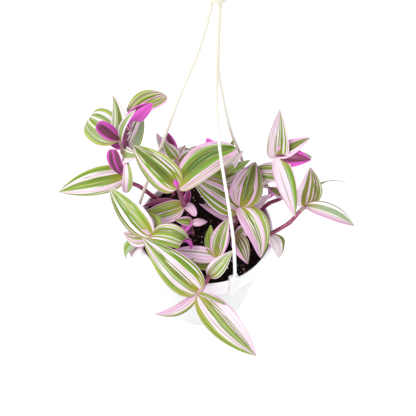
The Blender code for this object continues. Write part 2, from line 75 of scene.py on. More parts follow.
# Cell and height of each size of lump, the place of the dip at the wall, and its depth
SOIL_LUMPS = [(17, 2.6), (6, 1.9), (2.3, 1.3), (1.1, 0.7)]
LATTICE_SHIFT = 300
DIP_START = 60
DIP_END = 72
DIP_DEPTH = 0.8
GRAIN_ROWS = 7
GRAIN_SIDES = 10
GRAIN_BULGE = (0.72, 1.25)
GRAIN_FLATNESS = (0.5, 0.85)
GRAIN_LIFT = 0.15
GRAINLESS_EDGE = 3
# Loose grains on the soil: name, how many, least and greatest radius, least and greatest share of it
# that is left sideways, darkest and lightest colour, fineness of the pattern, roughness
GRAINS = [
    ("soil_crumbs", 900, (0.5, 1.9), (0.6, 1.2), "crumb black", "soil brown", 900.0, 0.85),
    ("bark_bits", 110, (0.9, 2.4), (0.35, 1.5), "bark dark", "bark light", 700.0, 0.75),
    ("perlite_grains", 120, (0.4, 1.1), (0.7, 1.1), "perlite grey", "perlite white", 1200.0, 0.7),
    ("feed_beads", 16, (0.7, 1.0), (0.95, 1.0), "bead brown", "bead tan", 500.0, 0.4),
]

# Hanger
HUB_BOTTOM = 318.0
HUB_HEIGHT = 9.0
HUB_RADIUS = 9.0
HOOK_WIRE = 2.3
HOOK_RADIUS = 11.4
HOOK_START = -45
HOOK_END = 210
HUB_SIDES = 64
HOOK_SIDES = 28
LEG_SIDES = 20
LEG_CIRCLE = 5.0
LEG_RADIUS_LOW = 1.8
LEG_RADIUS_HIGH = 1.2
CLIP_INSIDE = RIM_RADIUS - RIM_WALL - 0.7
CLIP_OUTSIDE = RIM_RADIUS + GAP + 0.1
CLIP_HALF_WIDTH = 5.0
CLIP_TOP = 4.2
CLIP_TONGUE = 6.0
CLIP_LIP = 2.0
CLIP_LEDGE = 2.1
CLIP_INNER_WALL = 1.6
CLIP_OUTER_WALL = 2.2
# Each leg's direction in degrees, and the points of its bow as if it pointed right
LEGS = {
    "hanger_leg_front": (-63, [(74, 0, 17), (65, 0, 58), (53, 0, 87), (41, 0, 112), (29, 0, 136),
                               (19, 0, 162), (11, 0, 196), (7, 0, 230), (6, 0, 259), (5, 0, 290)]),
    "hanger_leg_back": (57, [(74, 0, 12), (71.5, 0, 31), (63.5, 0, 60), (51, 0, 91), (41, 0, 115),
                             (30, 0, 148), (18, 0, 190), (9, 0, 223), (6, 0, 252), (5, 0, 290)]),
    "hanger_leg_left": (177, [(74, 0, 12), (72, -3, 27), (64, -9, 59), (57, -13, 82), (51, -13, 105),
                              (44, -9, 137), (30, -3, 198), (15, 0, 254), (6, 0, 300)]),
}

# Stalks
STEM_BURIED = 13.0
STEM_COLLAR = 3.0
STALK_SIDES = 18
STALK_END = 1.5
STALK_END_ROUNDNESS = 0.97
RING_STEP = 1.6
LONGEST_PLAIN_STRETCH = 24.0
JOINT_HALF_LENGTH = 2.4
JOINT_REACH = 1.1
JOINT_SWELLING = 0.16
TAN_REACH = 5.0
TAN_BELOW = 0.4
SHEATH_HEIGHT = 4.0
SHEATH_HEIGHT_PER_WIDTH = 0.16

# Blades: their sizes, and the squares of a wide and of a small one's grid
BLADE_HALF_THICKNESS = 0.3
LEAST_HALF_WIDTH = 0.15
FULLY_PLEATED_HALF_WIDTH = 6.0
WIDE_BLADE = 16.0
WIDE_BLADE_GRID = (44, 28)
SMALL_BLADE_GRID = (26, 14)

# A blade's form, as shares of its length, width or half width, as numbers of waves and pleats along it
# and across it, and as radians by which the waves slant and start
NECK_SHARE = 0.18
TIP_START = 0.55
CURL_DRAW = 0.35
KEEL = 0.1
FOLD_LOSS = 0.35
EDGE_THINNING = 0.6
TIP_THINNING = 0.4
WAVES = 1.9
WAVE_SLANT = 1.7
WAVE_START_PER_SEED = 2 * math.pi + 5
WAVE_HEIGHT = 0.022
PLEATS = 9
PLEAT_HEIGHT = 0.004

# A blade's stripes: how far they wander, and how much green, blush and kind of green change between
# two shares of its length
STRIPE_WANDER = 0.06
TIP_FADE = (-0.35, 0.82, 1)
TIP_BLUSH = (0.3, 0.6, 1)
ROOT_PALING = (-0.3, 0.15, 0)

# The photograph's view, worked out from the rim's ellipse and the hanger's legs, in metres and degrees
PICTURE_PIXELS = 416
FOCAL_PIXELS = 938
SENSOR = 36.0
CAMERA_DISTANCE = 1.0
CAMERA_DOWN = 52.0
CAMERA_ROLL = -3.3
CAMERA_AIM = (0.002, 0, 0.035)

# Floor and light, in metres
FLOOR_HALF = 12
FLOOR_HEIGHT = -1.3
LIGHT_TARGET = (0, 0, -0.36)
SURROUND_STRENGTH = 0.68

# Steps from one point of a route to the next: of a stalk, and of a leg or the hook's lead
STALK_STEPS = 12
HANGER_STEPS = 6

# Screen colours as red, green and blue from 0 to 255
COLORS = {
    "leaf cream": (250, 245, 246), "leaf pink": (244, 222, 237), "leaf lilac": (228, 178, 217),
    "silvery green": (156, 180, 142), "yellowish green": (162, 184, 68), "fresh green": (106, 148, 42),
    "olive green": (128, 126, 48), "deep green": (74, 110, 28),
    "olive streak": (78, 72, 36), "tan streak": (150, 122, 112), "straw vein": (222, 210, 176),
    "moss vein": (150, 146, 96), "leaf root": (166, 150, 34), "leaf edge": (214, 150, 190),
    "magenta": (200, 64, 176), "bright magenta": (234, 108, 216), "purple brown": (92, 34, 62),
    "plum": (140, 60, 100), "under edge": (232, 170, 216),
    "maroon": (118, 42, 70), "stalk purple": (170, 80, 118), "stalk pink": (206, 132, 176),
    "joint tan": (160, 116, 110), "sheath purple": (150, 84, 124), "sheath pink": (206, 150, 178),
    "sheath green": (186, 184, 128),
    "pot white": (223, 226, 227), "pot cloud": (231, 234, 234), "band painted highlight": (251, 254, 252),
    "hanger white": (249, 253, 250), "hanger painted shade": (214, 202, 190), "hanger cream": (232, 226, 208),
    "hanger shade": (206, 196, 180),
    "soil black": (10, 7, 7), "soil dark": (26, 19, 18), "soil brown": (58, 42, 36),
    "soil fibre": (96, 74, 62), "crumb black": (16, 11, 10), "bark dark": (50, 30, 22),
    "bark light": (124, 84, 60), "perlite grey": (196, 190, 182), "perlite white": (244, 242, 238),
    "bead brown": (176, 118, 66), "bead tan": (214, 160, 104),
    "floor": (250, 250, 250), "floor cloud": (253, 253, 253),
}

# Kinds of green by their place from 0 to 1
GREENS = [(0.0, "silvery green"), (0.33, "yellowish green"), (0.66, "fresh green"),
          (0.85, "olive green"), (1.0, "deep green")]

# What each letter of a leaf's stripes stands for: how green it is, how pink it is where it isn't green,
# and the place of its green among the kinds. w is white, p pink and l lilac. s is silvery, y yellowish,
# g fresh, o olive and d deep green.
STRIPES = {
    "w": (0.0, 0.08, 0.5), "p": (0.0, 0.5, 0.5), "l": (0.0, 1.0, 0.5),
    "s": (1.0, 0.3, 0.0), "y": (1.0, 0.2, 0.33), "g": (1.0, 0.4, 0.66), "o": (0.95, 0.6, 0.85),
    "d": (1.0, 0.5, 1.0),
}

FRONT_UP = (0, -0.6, 0.8)
BACK_DOWN = (0, 0.6, -0.8)


def leaf(place, reach, width, face=FRONT_UP, stripes="pgwgdgwgp", arch=4, fold=20, curl=0, twist=0,
         sway=0, turn=(0.0, 1.0), swell=(0.5, 0.93)):
    """One leaf: where it grows, its reach from root to tip, how it bends, and its stripes.

    place is a share of its stalk's length. reach points from root to tip. face is the way that its upper
    side looks. arch, curl and sway bend it by millimetres, up, down at the tip and aside. fold and twist
    are degrees, and the twist runs between the two shares of the length in turn. swell holds the powers
    of its outline. stripes names them from the left edge to the right one, seen from above with the tip
    ahead.
    """
    return dict(place=place, reach=reach, width=width, face=face, stripes=stripes, arch=arch,
                fold=fold, curl=curl, twist=twist, sway=sway, turn=turn, swell=swell)


STEMS = {
    "upper_left": dict(
        foot=(-52, 38), route=[(-62, 35, 8), (-74, 32, 25), (-85.5, 29, 38), (-88, 36, 55),
                               (-91, 42, 72), (-95, 42, 90)],
        radii=(2.6, 2.2), leaves=[
            leaf(0.99, (-41, 33, 2), 39, (-0.2, -0.55, 0.8), "yyysswssgswwsgggsswwssgsswpwsyyo", arch=6,
                 fold=14, curl=9, swell=(0.5, 0.75)),
            leaf(0.99, (-21, -8, 31), 17, BACK_DOWN, "lpgodgl", arch=-3, swell=(0.6, 0.42)),
            leaf(0.95, (-11, 32, 39), 30, (-0.4, -0.8, 0.4), "wsswssddgwwwwpwwww", arch=2, fold=24,
                 sway=9, swell=(0.4, 1.1)),
            leaf(0.86, (-1, 38, 23), 14, (0.3, -0.8, 0.45), "wwwwpwwwsgss", arch=2, fold=22, sway=4),
            leaf(0.96, (34, 3, 58), 18, (-0.6, -0.75, 0.33), "wlllllllddw", arch=5, fold=12, twist=150,
                 sway=-3, turn=(0.36, 0.6), swell=(1.4, 0.8)),
            leaf(0.95, (18, -7, 59), 8.5, (-0.35, -0.7, 0.6), "wwssgsssww", fold=8, sway=-3.5,
                 swell=(0.5, 0.8)),
            leaf(0.96, (45, 43, 30), 26, (-0.4, -0.75, 0.6), "yyylooolyyooolooolyyooloooyolll", arch=6,
                 fold=14, sway=-11, swell=(1.8, 0.6)),
            leaf(0.94, (-12, -3, 1), 14, (0.1, 0.6, -0.6), "ldddlddl", arch=1, fold=10, swell=(0.2, 0.9)),
            leaf(0.84, (3, -4, 37), 10, (0, 0.6, -0.7), "ddddld", arch=-1, fold=30, swell=(0.2, 0.4)),
            # Painted light: more of this leaf's stripes are white than on the leaf itself, to lift it out
            # of the shade of the leaves above it.
            leaf(0.8, (17, 14, 54), 20, (0.2, -0.7, 0.65), "gywwwddwwwwssssssg", arch=2, fold=14, sway=1,
                 swell=(0.4, 0.6)),
            leaf(0.63, (-73, -18, -15), 31, FRONT_UP, "oyowowplwppwssgggyyyggggggswpwowpwyggoyyy", arch=9,
                 fold=16),
            leaf(0.58, (-15, 1, 47), 18, (0.3, 0.7, -0.5), "ldddddldddddll", arch=-3, fold=14, sway=4,
                 swell=(0.45, 0.35)),
            leaf(0.85, (4, -29, -35), 13, (-0.3, -0.6, 0.8), "gssgsppwppl", arch=9, fold=18, sway=-7,
                 swell=(1.2, 0.5)),
            leaf(0.84, (18, -8, 6), 19, (-0.2, -0.6, 0.8), "ppsswpssgssgppwpp", arch=6, fold=14, sway=3,
                 swell=(0.3, 0.8)),
        ]),
    "centre": dict(
        foot=(-18, 24), route=[(-24, 15, 16), (-27, 0, 51), (-30, -14, 84)],
        radii=(2.6, 2.2), leaves=[
            leaf(0.98, (-49, 31, 28), 34, FRONT_UP, "loyyoplwpyggwggoddddddddgwgdgpopogpyyyy", arch=7,
                 fold=18, curl=4, swell=(0.38, 0.85)),
            leaf(0.98, (58, 32, 32), 34, FRONT_UP, "lllgwgggdddddddggggggllolollss", arch=5, fold=18,
                 curl=5, sway=-7, swell=(0.45, 0.5)),
            leaf(0.97, (-4, 2, 12), 7, BACK_DOWN, "lll", arch=-1, fold=30),
            leaf(0.38, (-47, -14, -1), 24, FRONT_UP, "lplolpologosoologoosogoosool", arch=1, fold=14,
                 sway=-4),
            leaf(0.31, (-48, -4, 2), 9, BACK_DOWN, "dod", arch=-3, fold=16, sway=-6),
            leaf(0.36, (14, -18, 8), 10, FRONT_UP, "lplpl", fold=12, sway=-3, swell=(0.5, 0.4)),
            leaf(0.33, (4, 6, 23), 8, BACK_DOWN, "pddddp", arch=-1, fold=34, swell=(0.5, 0.5)),
            leaf(0.27, (-19, 4, 9), 7, FRONT_UP, "plp", arch=5, fold=24),
        ]),
    "back_left": dict(
        foot=(-28, 50), route=[(-32, 60, 20), (-36, 66, 36)],
        radii=(2.2, 1.8), leaves=[
            leaf(0.97, (-16, 10, 19), 18, (0.1, -0.7, 0.6), "pwsogswgswp", arch=3, fold=22),
            leaf(0.98, (-24, 18, 22), 16, (0.3, -0.6, 0.6), "wplpw", arch=3, fold=26, sway=-3),
            leaf(0.98, (-13, 15, 28), 11, (0.2, 0.7, -0.5), "lgdgl", arch=2, swell=(0.5, 0.6)),
            leaf(0.9, (-26, 20, -8), 26, (-0.2, -0.1, 0.9), "pgwgdgwg", arch=6),
            leaf(0.9, (20, 26, -12), 26, (0.2, 0.2, 0.9), "lgpgdgwy", arch=6),
            leaf(0.98, (10, 16, 11), 6, FRONT_UP, "lol", arch=6, fold=30, curl=6),
        ]),
    "back_right": dict(
        foot=(21, 41), route=[(20, 50, 22), (20, 54, 38)],
        radii=(2.2, 1.8), leaves=[
            leaf(0.98, (-24, 24, 23), 15, (0, 0.7, -0.5), "lpgdpl", arch=-3, swell=(0.5, 0.6)),
            leaf(0.98, (5, 20, 28), 12, FRONT_UP, "ogogo", arch=2, fold=25),
            leaf(0.97, (16, -13, 49), 13, FRONT_UP, "gwpwwpw", fold=18),
            leaf(0.93, (24, -17, 42), 14, (0.1, -0.5, 0.8), "ssgsggss", arch=5, fold=16, sway=2),
            leaf(0.75, (12, -16, 32), 11, FRONT_UP, "oodowowo", arch=3, fold=16),
        ]),
    "right": dict(
        foot=(33, 13), route=[(36, 8, 14), (37, 6, 34)],
        radii=(2.5, 2.2), leaves=[
            leaf(0.98, (13, 38, 31), 37, FRONT_UP, "llllolllpolllodgoodgdgdodolllooodogl", arch=6),
            leaf(0.98, (26, -46, -29), 31, (0.3, -0.5, 0.8), "yoywoyyopplpppwsgwygdgwgswlplllllllllp",
                 arch=10, curl=4, sway=-3, swell=(0.42, 0.8)),
            leaf(0.6, (9, 30, 48), 16, (-0.3, -0.6, 0.8), "wpwgpw", arch=1, fold=35),
            leaf(0.95, (10, 34, 38), 8, (-0.5, -0.6, 0.5), "sgs", arch=3, fold=35),
            leaf(0.8, (-55, 26, 23), 31, FRONT_UP, "wogoowogollpowogdgowolllooo", fold=12, sway=1),
            leaf(0.42, (-42, 4, 21), 12, FRONT_UP, "lpllol", arch=3, fold=16),
            leaf(0.62, (33, 10, 30), 15, FRONT_UP, "wwwww", arch=3, fold=18),
        ]),
    "right_tall": dict(
        foot=(58, 30), route=[(69, 30, 11), (84, 28, 30), (81, 35, 60), (70, 38, 85)],
        radii=(2.5, 2), leaves=[
            leaf(0.95, (-3, 22, 51), 29, (-0.1, -0.8, 0.5), "sppppppppwowpsowggdwwsgppp", arch=2, fold=40,
                 swell=(0.3, 1)),
            leaf(0.98, (23, -50, -39), 23, (0.1, -0.75, 0.6), "pdgggssspppppwppppwpppl", arch=9, fold=22),
            leaf(0.98, (35, -12, 10), 23, (0, 0.6, -0.7), "lpdgdgpl", arch=-5, fold=24),
            leaf(0.98, (33, 7, 23), 18, (0, -0.5, 0.8), "lllodgoowlpp", fold=25),
            leaf(0.96, (41, 16, -15), 16, (0.4, -0.5, 0.6), "ssgss", arch=1, fold=22, curl=3),
            leaf(0.76, (-34, 10, -13), 22, FRONT_UP, "wpsggswgwppwgywgwp", arch=5),
            leaf(0.5, (-18, 4, 8), 12, FRONT_UP, "lodol", arch=3, fold=25),
        ]),
    "right_long": dict(
        foot=(63, -5), route=[(73.5, -6, 5.5), (90, -1, 18), (99, 4, 30), (106, 6, 42)],
        radii=(2.5, 2.2), leaves=[
            leaf(0.98, (0, 14, 48), 31, (0.32, -0.85, 0.35), "lppppppppoooodooolppoooolooolooowss",
                 arch=3, fold=18),
            leaf(0.98, (54, -14, -12), 22, (0, -0.4, 0.9), "owwwsssssswwppplllll", arch=12, fold=45),
            leaf(0.98, (46, 30, 6), 15, (0, 0.8, 0.62), "ogo", arch=13, fold=10),
            leaf(0.33, (12, -22, -13), 24, (0.6, -0.3, 0.7), "gowwwwwwwwpww", arch=5, fold=12),
        ]),
    "front_left": dict(
        foot=(-32, -8), route=[(-44, -24, 14), (-57, -35, 25)],
        radii=(2.5, 2.2), leaves=[
            leaf(0.98, (-48, 44, 25), 29, FRONT_UP, "oywogwwwwgggwggsgwgsgwggsgwppw", arch=5, fold=16),
            leaf(0.97, (-15, 29, 4), 26, FRONT_UP, "ygyggwygwgyyg", arch=0, fold=10, sway=5),
            leaf(0.98, (45, -14, 11), 26, (0, -0.3, 0.9), "opylggddggyywoypwoygyg", arch=14, fold=18,
                 curl=9, twist=140, turn=(0.78, 0.97), swell=(0.5, 0.45)),
            leaf(0.98, (-30, 6, -3), 20, FRONT_UP, "pwlypplyoplyopllp", arch=2, sway=-4),
            leaf(0.98, (-26, -6, -39), 12, (-0.5, -0.6, 0.5), "sssgs", arch=10, fold=22, sway=7),
            leaf(0.98, (-21, -2, -38), 11, (-0.3, -0.8, 0.5), "wpoplw", arch=8, fold=22, sway=4),
        ]),
    "front": dict(
        foot=(12, -46), route=[(8, -64, 4), (3, -78, 6), (-4, -89, 2)],
        radii=(2.5, 2.3),
        branch=[(12, -46, -9), (15, -43, 0), (14, -45, 9)], branch_radii=(2.3, 2), leaves=[
            leaf(0.93, (-62, 35, 40), 37, (-0.1, -0.6, 0.8),
                 "yyyyggwggwplwsssssgggddgwgdwppppppwyggwgggwgggw", arch=7, fold=16, sway=0.5,
                 swell=(0.42, 0.92)),
            leaf(0.98, (65, -43, -46), 35, (0.1, -0.7, 0.7), "pppwppwppowowoogssgowpppwpyyygyy", arch=10,
                 fold=22),
            leaf(0.98, (-45, -16, -19), 13, (0, -0.4, 0.9), "ooylwolpllllll", arch=2, fold=22, curl=-2,
                 sway=-7, swell=(0.45, 0.9)),
            leaf(0.97, (29, -14, 3), 5, (0.2, -0.5, 0.8), "yoyop", arch=9, swell=(0.4, 0.6)),
            leaf(0.62, (23, 14, 30), 18, FRONT_UP, "wpwgwsgwswsggswygw", fold=18),
        ], branch_leaves=[
            leaf(0.98, (11, 37, 22), 19, FRONT_UP, "llpowogdggopopoylpl", arch=5, fold=16, sway=-3),
            leaf(0.98, (-8, 31, 15), 15, FRONT_UP, "gdsdgsdsgd", sway=-3),
            leaf(0.95, (14, 34, 1), 9, FRONT_UP, "lpdldlp", arch=2, fold=10),
            leaf(0.97, (-47, 4, 3), 19, FRONT_UP, "owlpplpwopplpl", arch=2, fold=14),
            leaf(0.85, (-29, -6, 4), 16, FRONT_UP, "yogyyoy", arch=-1, fold=12, sway=-5),
            leaf(0.5, (12, -12, 4), 9, FRONT_UP, "wwpwwo", arch=2, fold=25),
        ]),
    "inner_right": dict(
        foot=(34, -10), route=[(35, -13, 5)],
        radii=(2, 1.7), leaves=[
            # Painted shade: deep green stripes darken this leaf, which lies in the shade of the leaves
            # around it.
            leaf(0.97, (13, -32, -5), 20, FRONT_UP, "ddlddlddlddlllll"),
            leaf(0.93, (14, 14, 8), 14, FRONT_UP, "loglp", arch=3),
        ]),
    "inner_left": dict(
        foot=(-13, -4), route=[(-15, -3, 3), (-14, 2, 10)],
        radii=(2, 1.7), leaves=[
            leaf(0.6, (-21, -3, 1), 11, (0, 0.6, -0.6), "lgl", arch=-2),
            leaf(0.93, (-19, -3, 6), 11, FRONT_UP, "ldsdodl", arch=3),
            leaf(0.9, (17, 2, 1), 9, FRONT_UP, "lplpl", arch=3),
            # Painted shade: the d letters darken this leaf, purple brown on its underside, where it lies in
            # shade.
            leaf(0.97, (-13, -14, -7), 9, (0.3, 0.5, -0.6), "dldpp", arch=-3, fold=26, swell=(0.5, 0.5)),
        ]),
    "back": dict(
        foot=(-4, 60), route=[(-5, 67, 6), (-7, 79, 9), (-10, 92, 2)],
        radii=(2.4, 2), leaves=[
            leaf(0.98, (-29, 22, -28), 32, (-0.3, 0.5, 0.8), "lygwggdgpwgwgl", arch=12, fold=18),
            leaf(0.98, (30, 22, -34), 34, (0.3, 0.5, 0.7), "ypwgdgpgdglwgoy", arch=12, fold=18),
            leaf(0.97, (-3, 38, -46), 30, (0, 0.8, 0.5), "lpgwgdgwggwlp", arch=10, fold=18),
            leaf(0.7, (43, -8, -11), 20, (0.1, -0.2, 0.9), "oogodogoo", arch=5, fold=16),
        ]),
    "rear_left": dict(
        foot=(-38, 50), route=[(-46, 60, 8), (-50, 70, 8)],
        radii=(2.2, 1.9), leaves=[
            leaf(0.98, (-10, 30, -36), 30, (-0.2, 0.7, 0.6), "pgwgddgwgglwy", arch=12, fold=18),
            leaf(0.97, (-18, 20, -34), 24, (-0.6, 0.5, 0.5), "lwgdggwgwp", arch=10, fold=18),
        ]),
    "rear_right": dict(
        foot=(44, 40), route=[(53, 50, 8), (58, 58, 7)],
        radii=(2.2, 1.9), leaves=[
            leaf(0.98, (4, 32, -38), 32, (0.2, 0.7, 0.6), "ywlgdogdgwgpl", arch=12, fold=18),
            leaf(0.97, (14, 14, -40), 24, (0.6, 0.5, 0.4), "lpgdogwgwl", arch=10, fold=18),
        ]),
}


# Surfaces

def unit(vectors):
    """The vectors brought to length one."""
    return vectors / np.linalg.norm(vectors, axis=-1, keepdims=True)


def around(sides):
    """Angles evenly spaced round a circle."""
    return np.linspace(0, 2 * math.pi, sides, endpoint=False)


def progress(value, start, end):
    """The value's way from start to end, held between 0 and 1."""
    return np.clip((value - start) / (end - start), 0, 1)


def eased(share):
    """A share from 0 to 1, slowed at both ends as 3 s^2 - 2 s^3."""
    return share * share * (3 - 2 * share)


def spun(points, angle):
    """The points turned by this angle about the upright axis."""
    x, y, z = np.moveaxis(points, -1, 0)
    return np.stack([x * np.cos(angle) - y * np.sin(angle), x * np.sin(angle) + y * np.cos(angle), z], -1)


def new_object(name, data):
    """A new object in the scene, at the origin."""
    made = bpy.data.objects.new(name, data)
    bpy.context.scene.collection.objects.link(made)
    return made


class Surfaces:
    """Gathers surfaces as whole arrays and makes one piece of them."""

    def __init__(self):
        self.points = []
        self.faces = {4: [], 3: []}
        self.slots = {4: [], 3: []}
        self.marks = {}
        self.count = 0

    def add(self, points, quads, triangles=(), slot=0, **marks):
        """Take in one surface: points, faces by index, the slot or slots of its materials, and marks."""
        points = np.asarray(points, float).reshape(-1, 3)
        self.points.append(points)
        for corners, faces in ((4, quads), (3, triangles)):
            if len(faces):
                self.faces[corners].append(np.asarray(faces, int) + self.count)
                self.slots[corners].append(np.broadcast_to(slot, len(faces)))
        for name, values in marks.items():
            self.marks.setdefault(name, []).append(values.reshape(len(points), -1).astype(np.float32))
        self.count += len(points)

    def piece(self, name, materials, replaced, slot, crease=50):
        """One finished piece that rides on the root and stands for the replaced nodes."""
        points = (np.vstack(self.points) - [0, 0, RIM_DROP]) * METRES_PER_MM
        faces = self.faces[4] + self.faces[3]
        corners = np.concatenate([face.ravel() for face in faces]).astype(np.int32)
        sizes = np.concatenate([np.full(len(face), face.shape[1]) for face in faces])
        mesh = bpy.data.meshes.new(name)
        mesh.vertices.add(len(points))
        mesh.vertices.foreach_set("co", points.astype(np.float32).ravel())
        mesh.loops.add(len(corners))
        mesh.loops.foreach_set("vertex_index", corners)
        mesh.polygons.add(len(sizes))
        mesh.polygons.foreach_set("loop_start", (np.cumsum(sizes) - sizes).astype(np.int32))
        mesh.update(calc_edges=True)
        slots = np.concatenate(self.slots[4] + self.slots[3]).astype(np.int32)
        mesh.polygons.foreach_set("material_index", slots)
        for mark, values in self.marks.items():
            values = np.vstack(values)
            if mark == "surface":
                layer = mesh.uv_layers.new(name=mark)
                layer.data.foreach_set("uv", values[corners].ravel())
            else:
                kind, field = {1: ("FLOAT", "value"), 3: ("FLOAT_VECTOR", "vector")}[values.shape[1]]
                layer = mesh.attributes.new(mark, kind, 'POINT')
                layer.data.foreach_set(field, values.ravel())
        mesh.polygons.foreach_set("use_smooth", np.ones(len(sizes), bool))
        mesh.set_sharp_from_angle(angle=math.radians(crease))
        for material in materials:
            mesh.materials.append(material)
        body = new_object(name, mesh)
        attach(body, "root")
        if replaced:
            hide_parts(*replaced)
        return body


def grid_faces(rows, columns, wrap_rows=False, wrap_columns=False):
    """Four-cornered faces over a grid of points, which may close on itself either way."""
    index = np.arange(rows * columns).reshape(rows, columns)
    if wrap_rows:
        index = np.vstack([index, index[:1]])
    if wrap_columns:
        index = np.hstack([index, index[:, :1]])
    return np.stack([index[:-1, :-1], index[:-1, 1:], index[1:, 1:], index[1:, :-1]], -1).reshape(-1, 4)


def stack_faces(rings, sides):
    """Faces of a stack of rings that is drawn in to a point at each end.

    The points come ring by ring, and the first and the last end's point follow them.
    """
    side = np.arange(sides)
    after = (side + 1) % sides
    last, end = (rings - 1) * sides, rings * sides
    caps = np.vstack([np.column_stack([np.full(sides, end), after, side]),
                      np.column_stack([np.full(sides, end + 1), last + side, last + after])])
    return grid_faces(rings, sides, wrap_columns=True), caps


def closed_stack(rings, first, last):
    """A closed surface of rings, one after the other, drawn in to its first and its last point."""
    return (np.vstack([rings.reshape(-1, 3), [first], [last]]), *stack_faces(*rings.shape[:2]))


def smooth_route(points, steps):
    """A smooth curve through the points, read at this many steps from each to the next.

    Between two points it is the cubic that also heeds the point before and the point after them.
    """
    points = np.asarray(points, float)
    knots = np.vstack([2 * points[0] - points[1], points, 2 * points[-1] - points[-2]])
    t = np.linspace(0, 1, steps, endpoint=False)[:, None]
    curve = []
    for before, start, end, after in zip(knots, knots[1:], knots[2:], knots[3:]):
        curve.append(0.5 * (2 * start + (end - before) * t
                            + (2 * before - 5 * start + 4 * end - after) * t ** 2
                            + (3 * start - before - 3 * end + after) * t ** 3))
    return np.vstack(curve + [points[-1:]])


def lengths_along(route):
    """The distance of each point of the route from its start."""
    return np.concatenate([[0], np.cumsum(np.linalg.norm(np.diff(route, axis=0), axis=1))])


def read_route(route, distances):
    """The points at these distances along the route."""
    walked = lengths_along(route)
    return np.column_stack([np.interp(distances, walked, route[:, axis]) for axis in range(3)])


def rod(route, radii, sides):
    """A closed rod: a circle at each point of the route, square to it and turned on without twist."""
    angles = around(sides)[:, None]
    across = SLANT_ACROSS
    rings = []
    for point, ahead, radius in zip(route, unit(np.gradient(route, axis=0)), radii):
        across = unit(across - np.dot(across, ahead) * ahead)
        up = np.cross(ahead, across)
        rings.append(point + radius * (np.cos(angles) * across + np.sin(angles) * up))
    return closed_stack(np.array(rings), route[0], route[-1])


def circles(outline, sides):
    """A level ring of points for each radius and height of the outline."""
    radius, height = np.asarray(outline, float).T[..., None]
    x, y = radius * np.cos(around(sides)), radius * np.sin(around(sides))
    return np.stack(np.broadcast_arrays(x, y, height), -1)


def turned(outline, sides):
    """A solid turned about the upright axis from an outline that starts and ends on it."""
    return closed_stack(circles(outline[1:-1], sides), (0, 0, outline[0][1]), (0, 0, outline[-1][1]))


def rounded(outline, radius, steps=4, crowded=0.45):
    """The outline with each corner cut by a curve, (1 - t)^2 start + 2 t (1 - t) corner + t^2 end.

    The curve starts and ends this radius from the corner, or at the crowded share of a short side.
    """
    outline = np.asarray(outline, float)
    made = [outline[:1]]
    t = np.linspace(0, 1, steps + 1)[:, None]
    for before, corner, after in zip(outline, outline[1:], outline[2:]):
        start, end = (corner + unit(way) * min(radius, crowded * np.linalg.norm(way))
                      for way in (before - corner, after - corner))
        made.append(start * (1 - t) ** 2 + corner * 2 * t * (1 - t) + end * t ** 2)
    return np.vstack(made + [outline[-1:]])


def lumpy(x, y, cell, seed, size=64):
    """Smooth random heights from 0 to 1 on a lattice of this cell, read at x and y."""
    table = np.random.default_rng(seed).random((size, size))
    column, row = np.floor(x / cell).astype(int), np.floor(y / cell).astype(int)
    across, up = eased(x / cell - column), eased(y / cell - row)
    low, high = (table[line % size, column % size] * (1 - across)
                 + table[line % size, (column + 1) % size] * across for line in (row, row + 1))
    return low * (1 - up) + high * up


# Materials

def paint(name):
    """A named screen colour in linear light, by the curve that screens follow."""
    share = np.array(COLORS[name]) / 255
    linear = np.where(share > 0.04045, ((share + 0.055) / 1.055) ** 2.4, share / 12.92)
    return (*(float(value) for value in linear), 1.0)


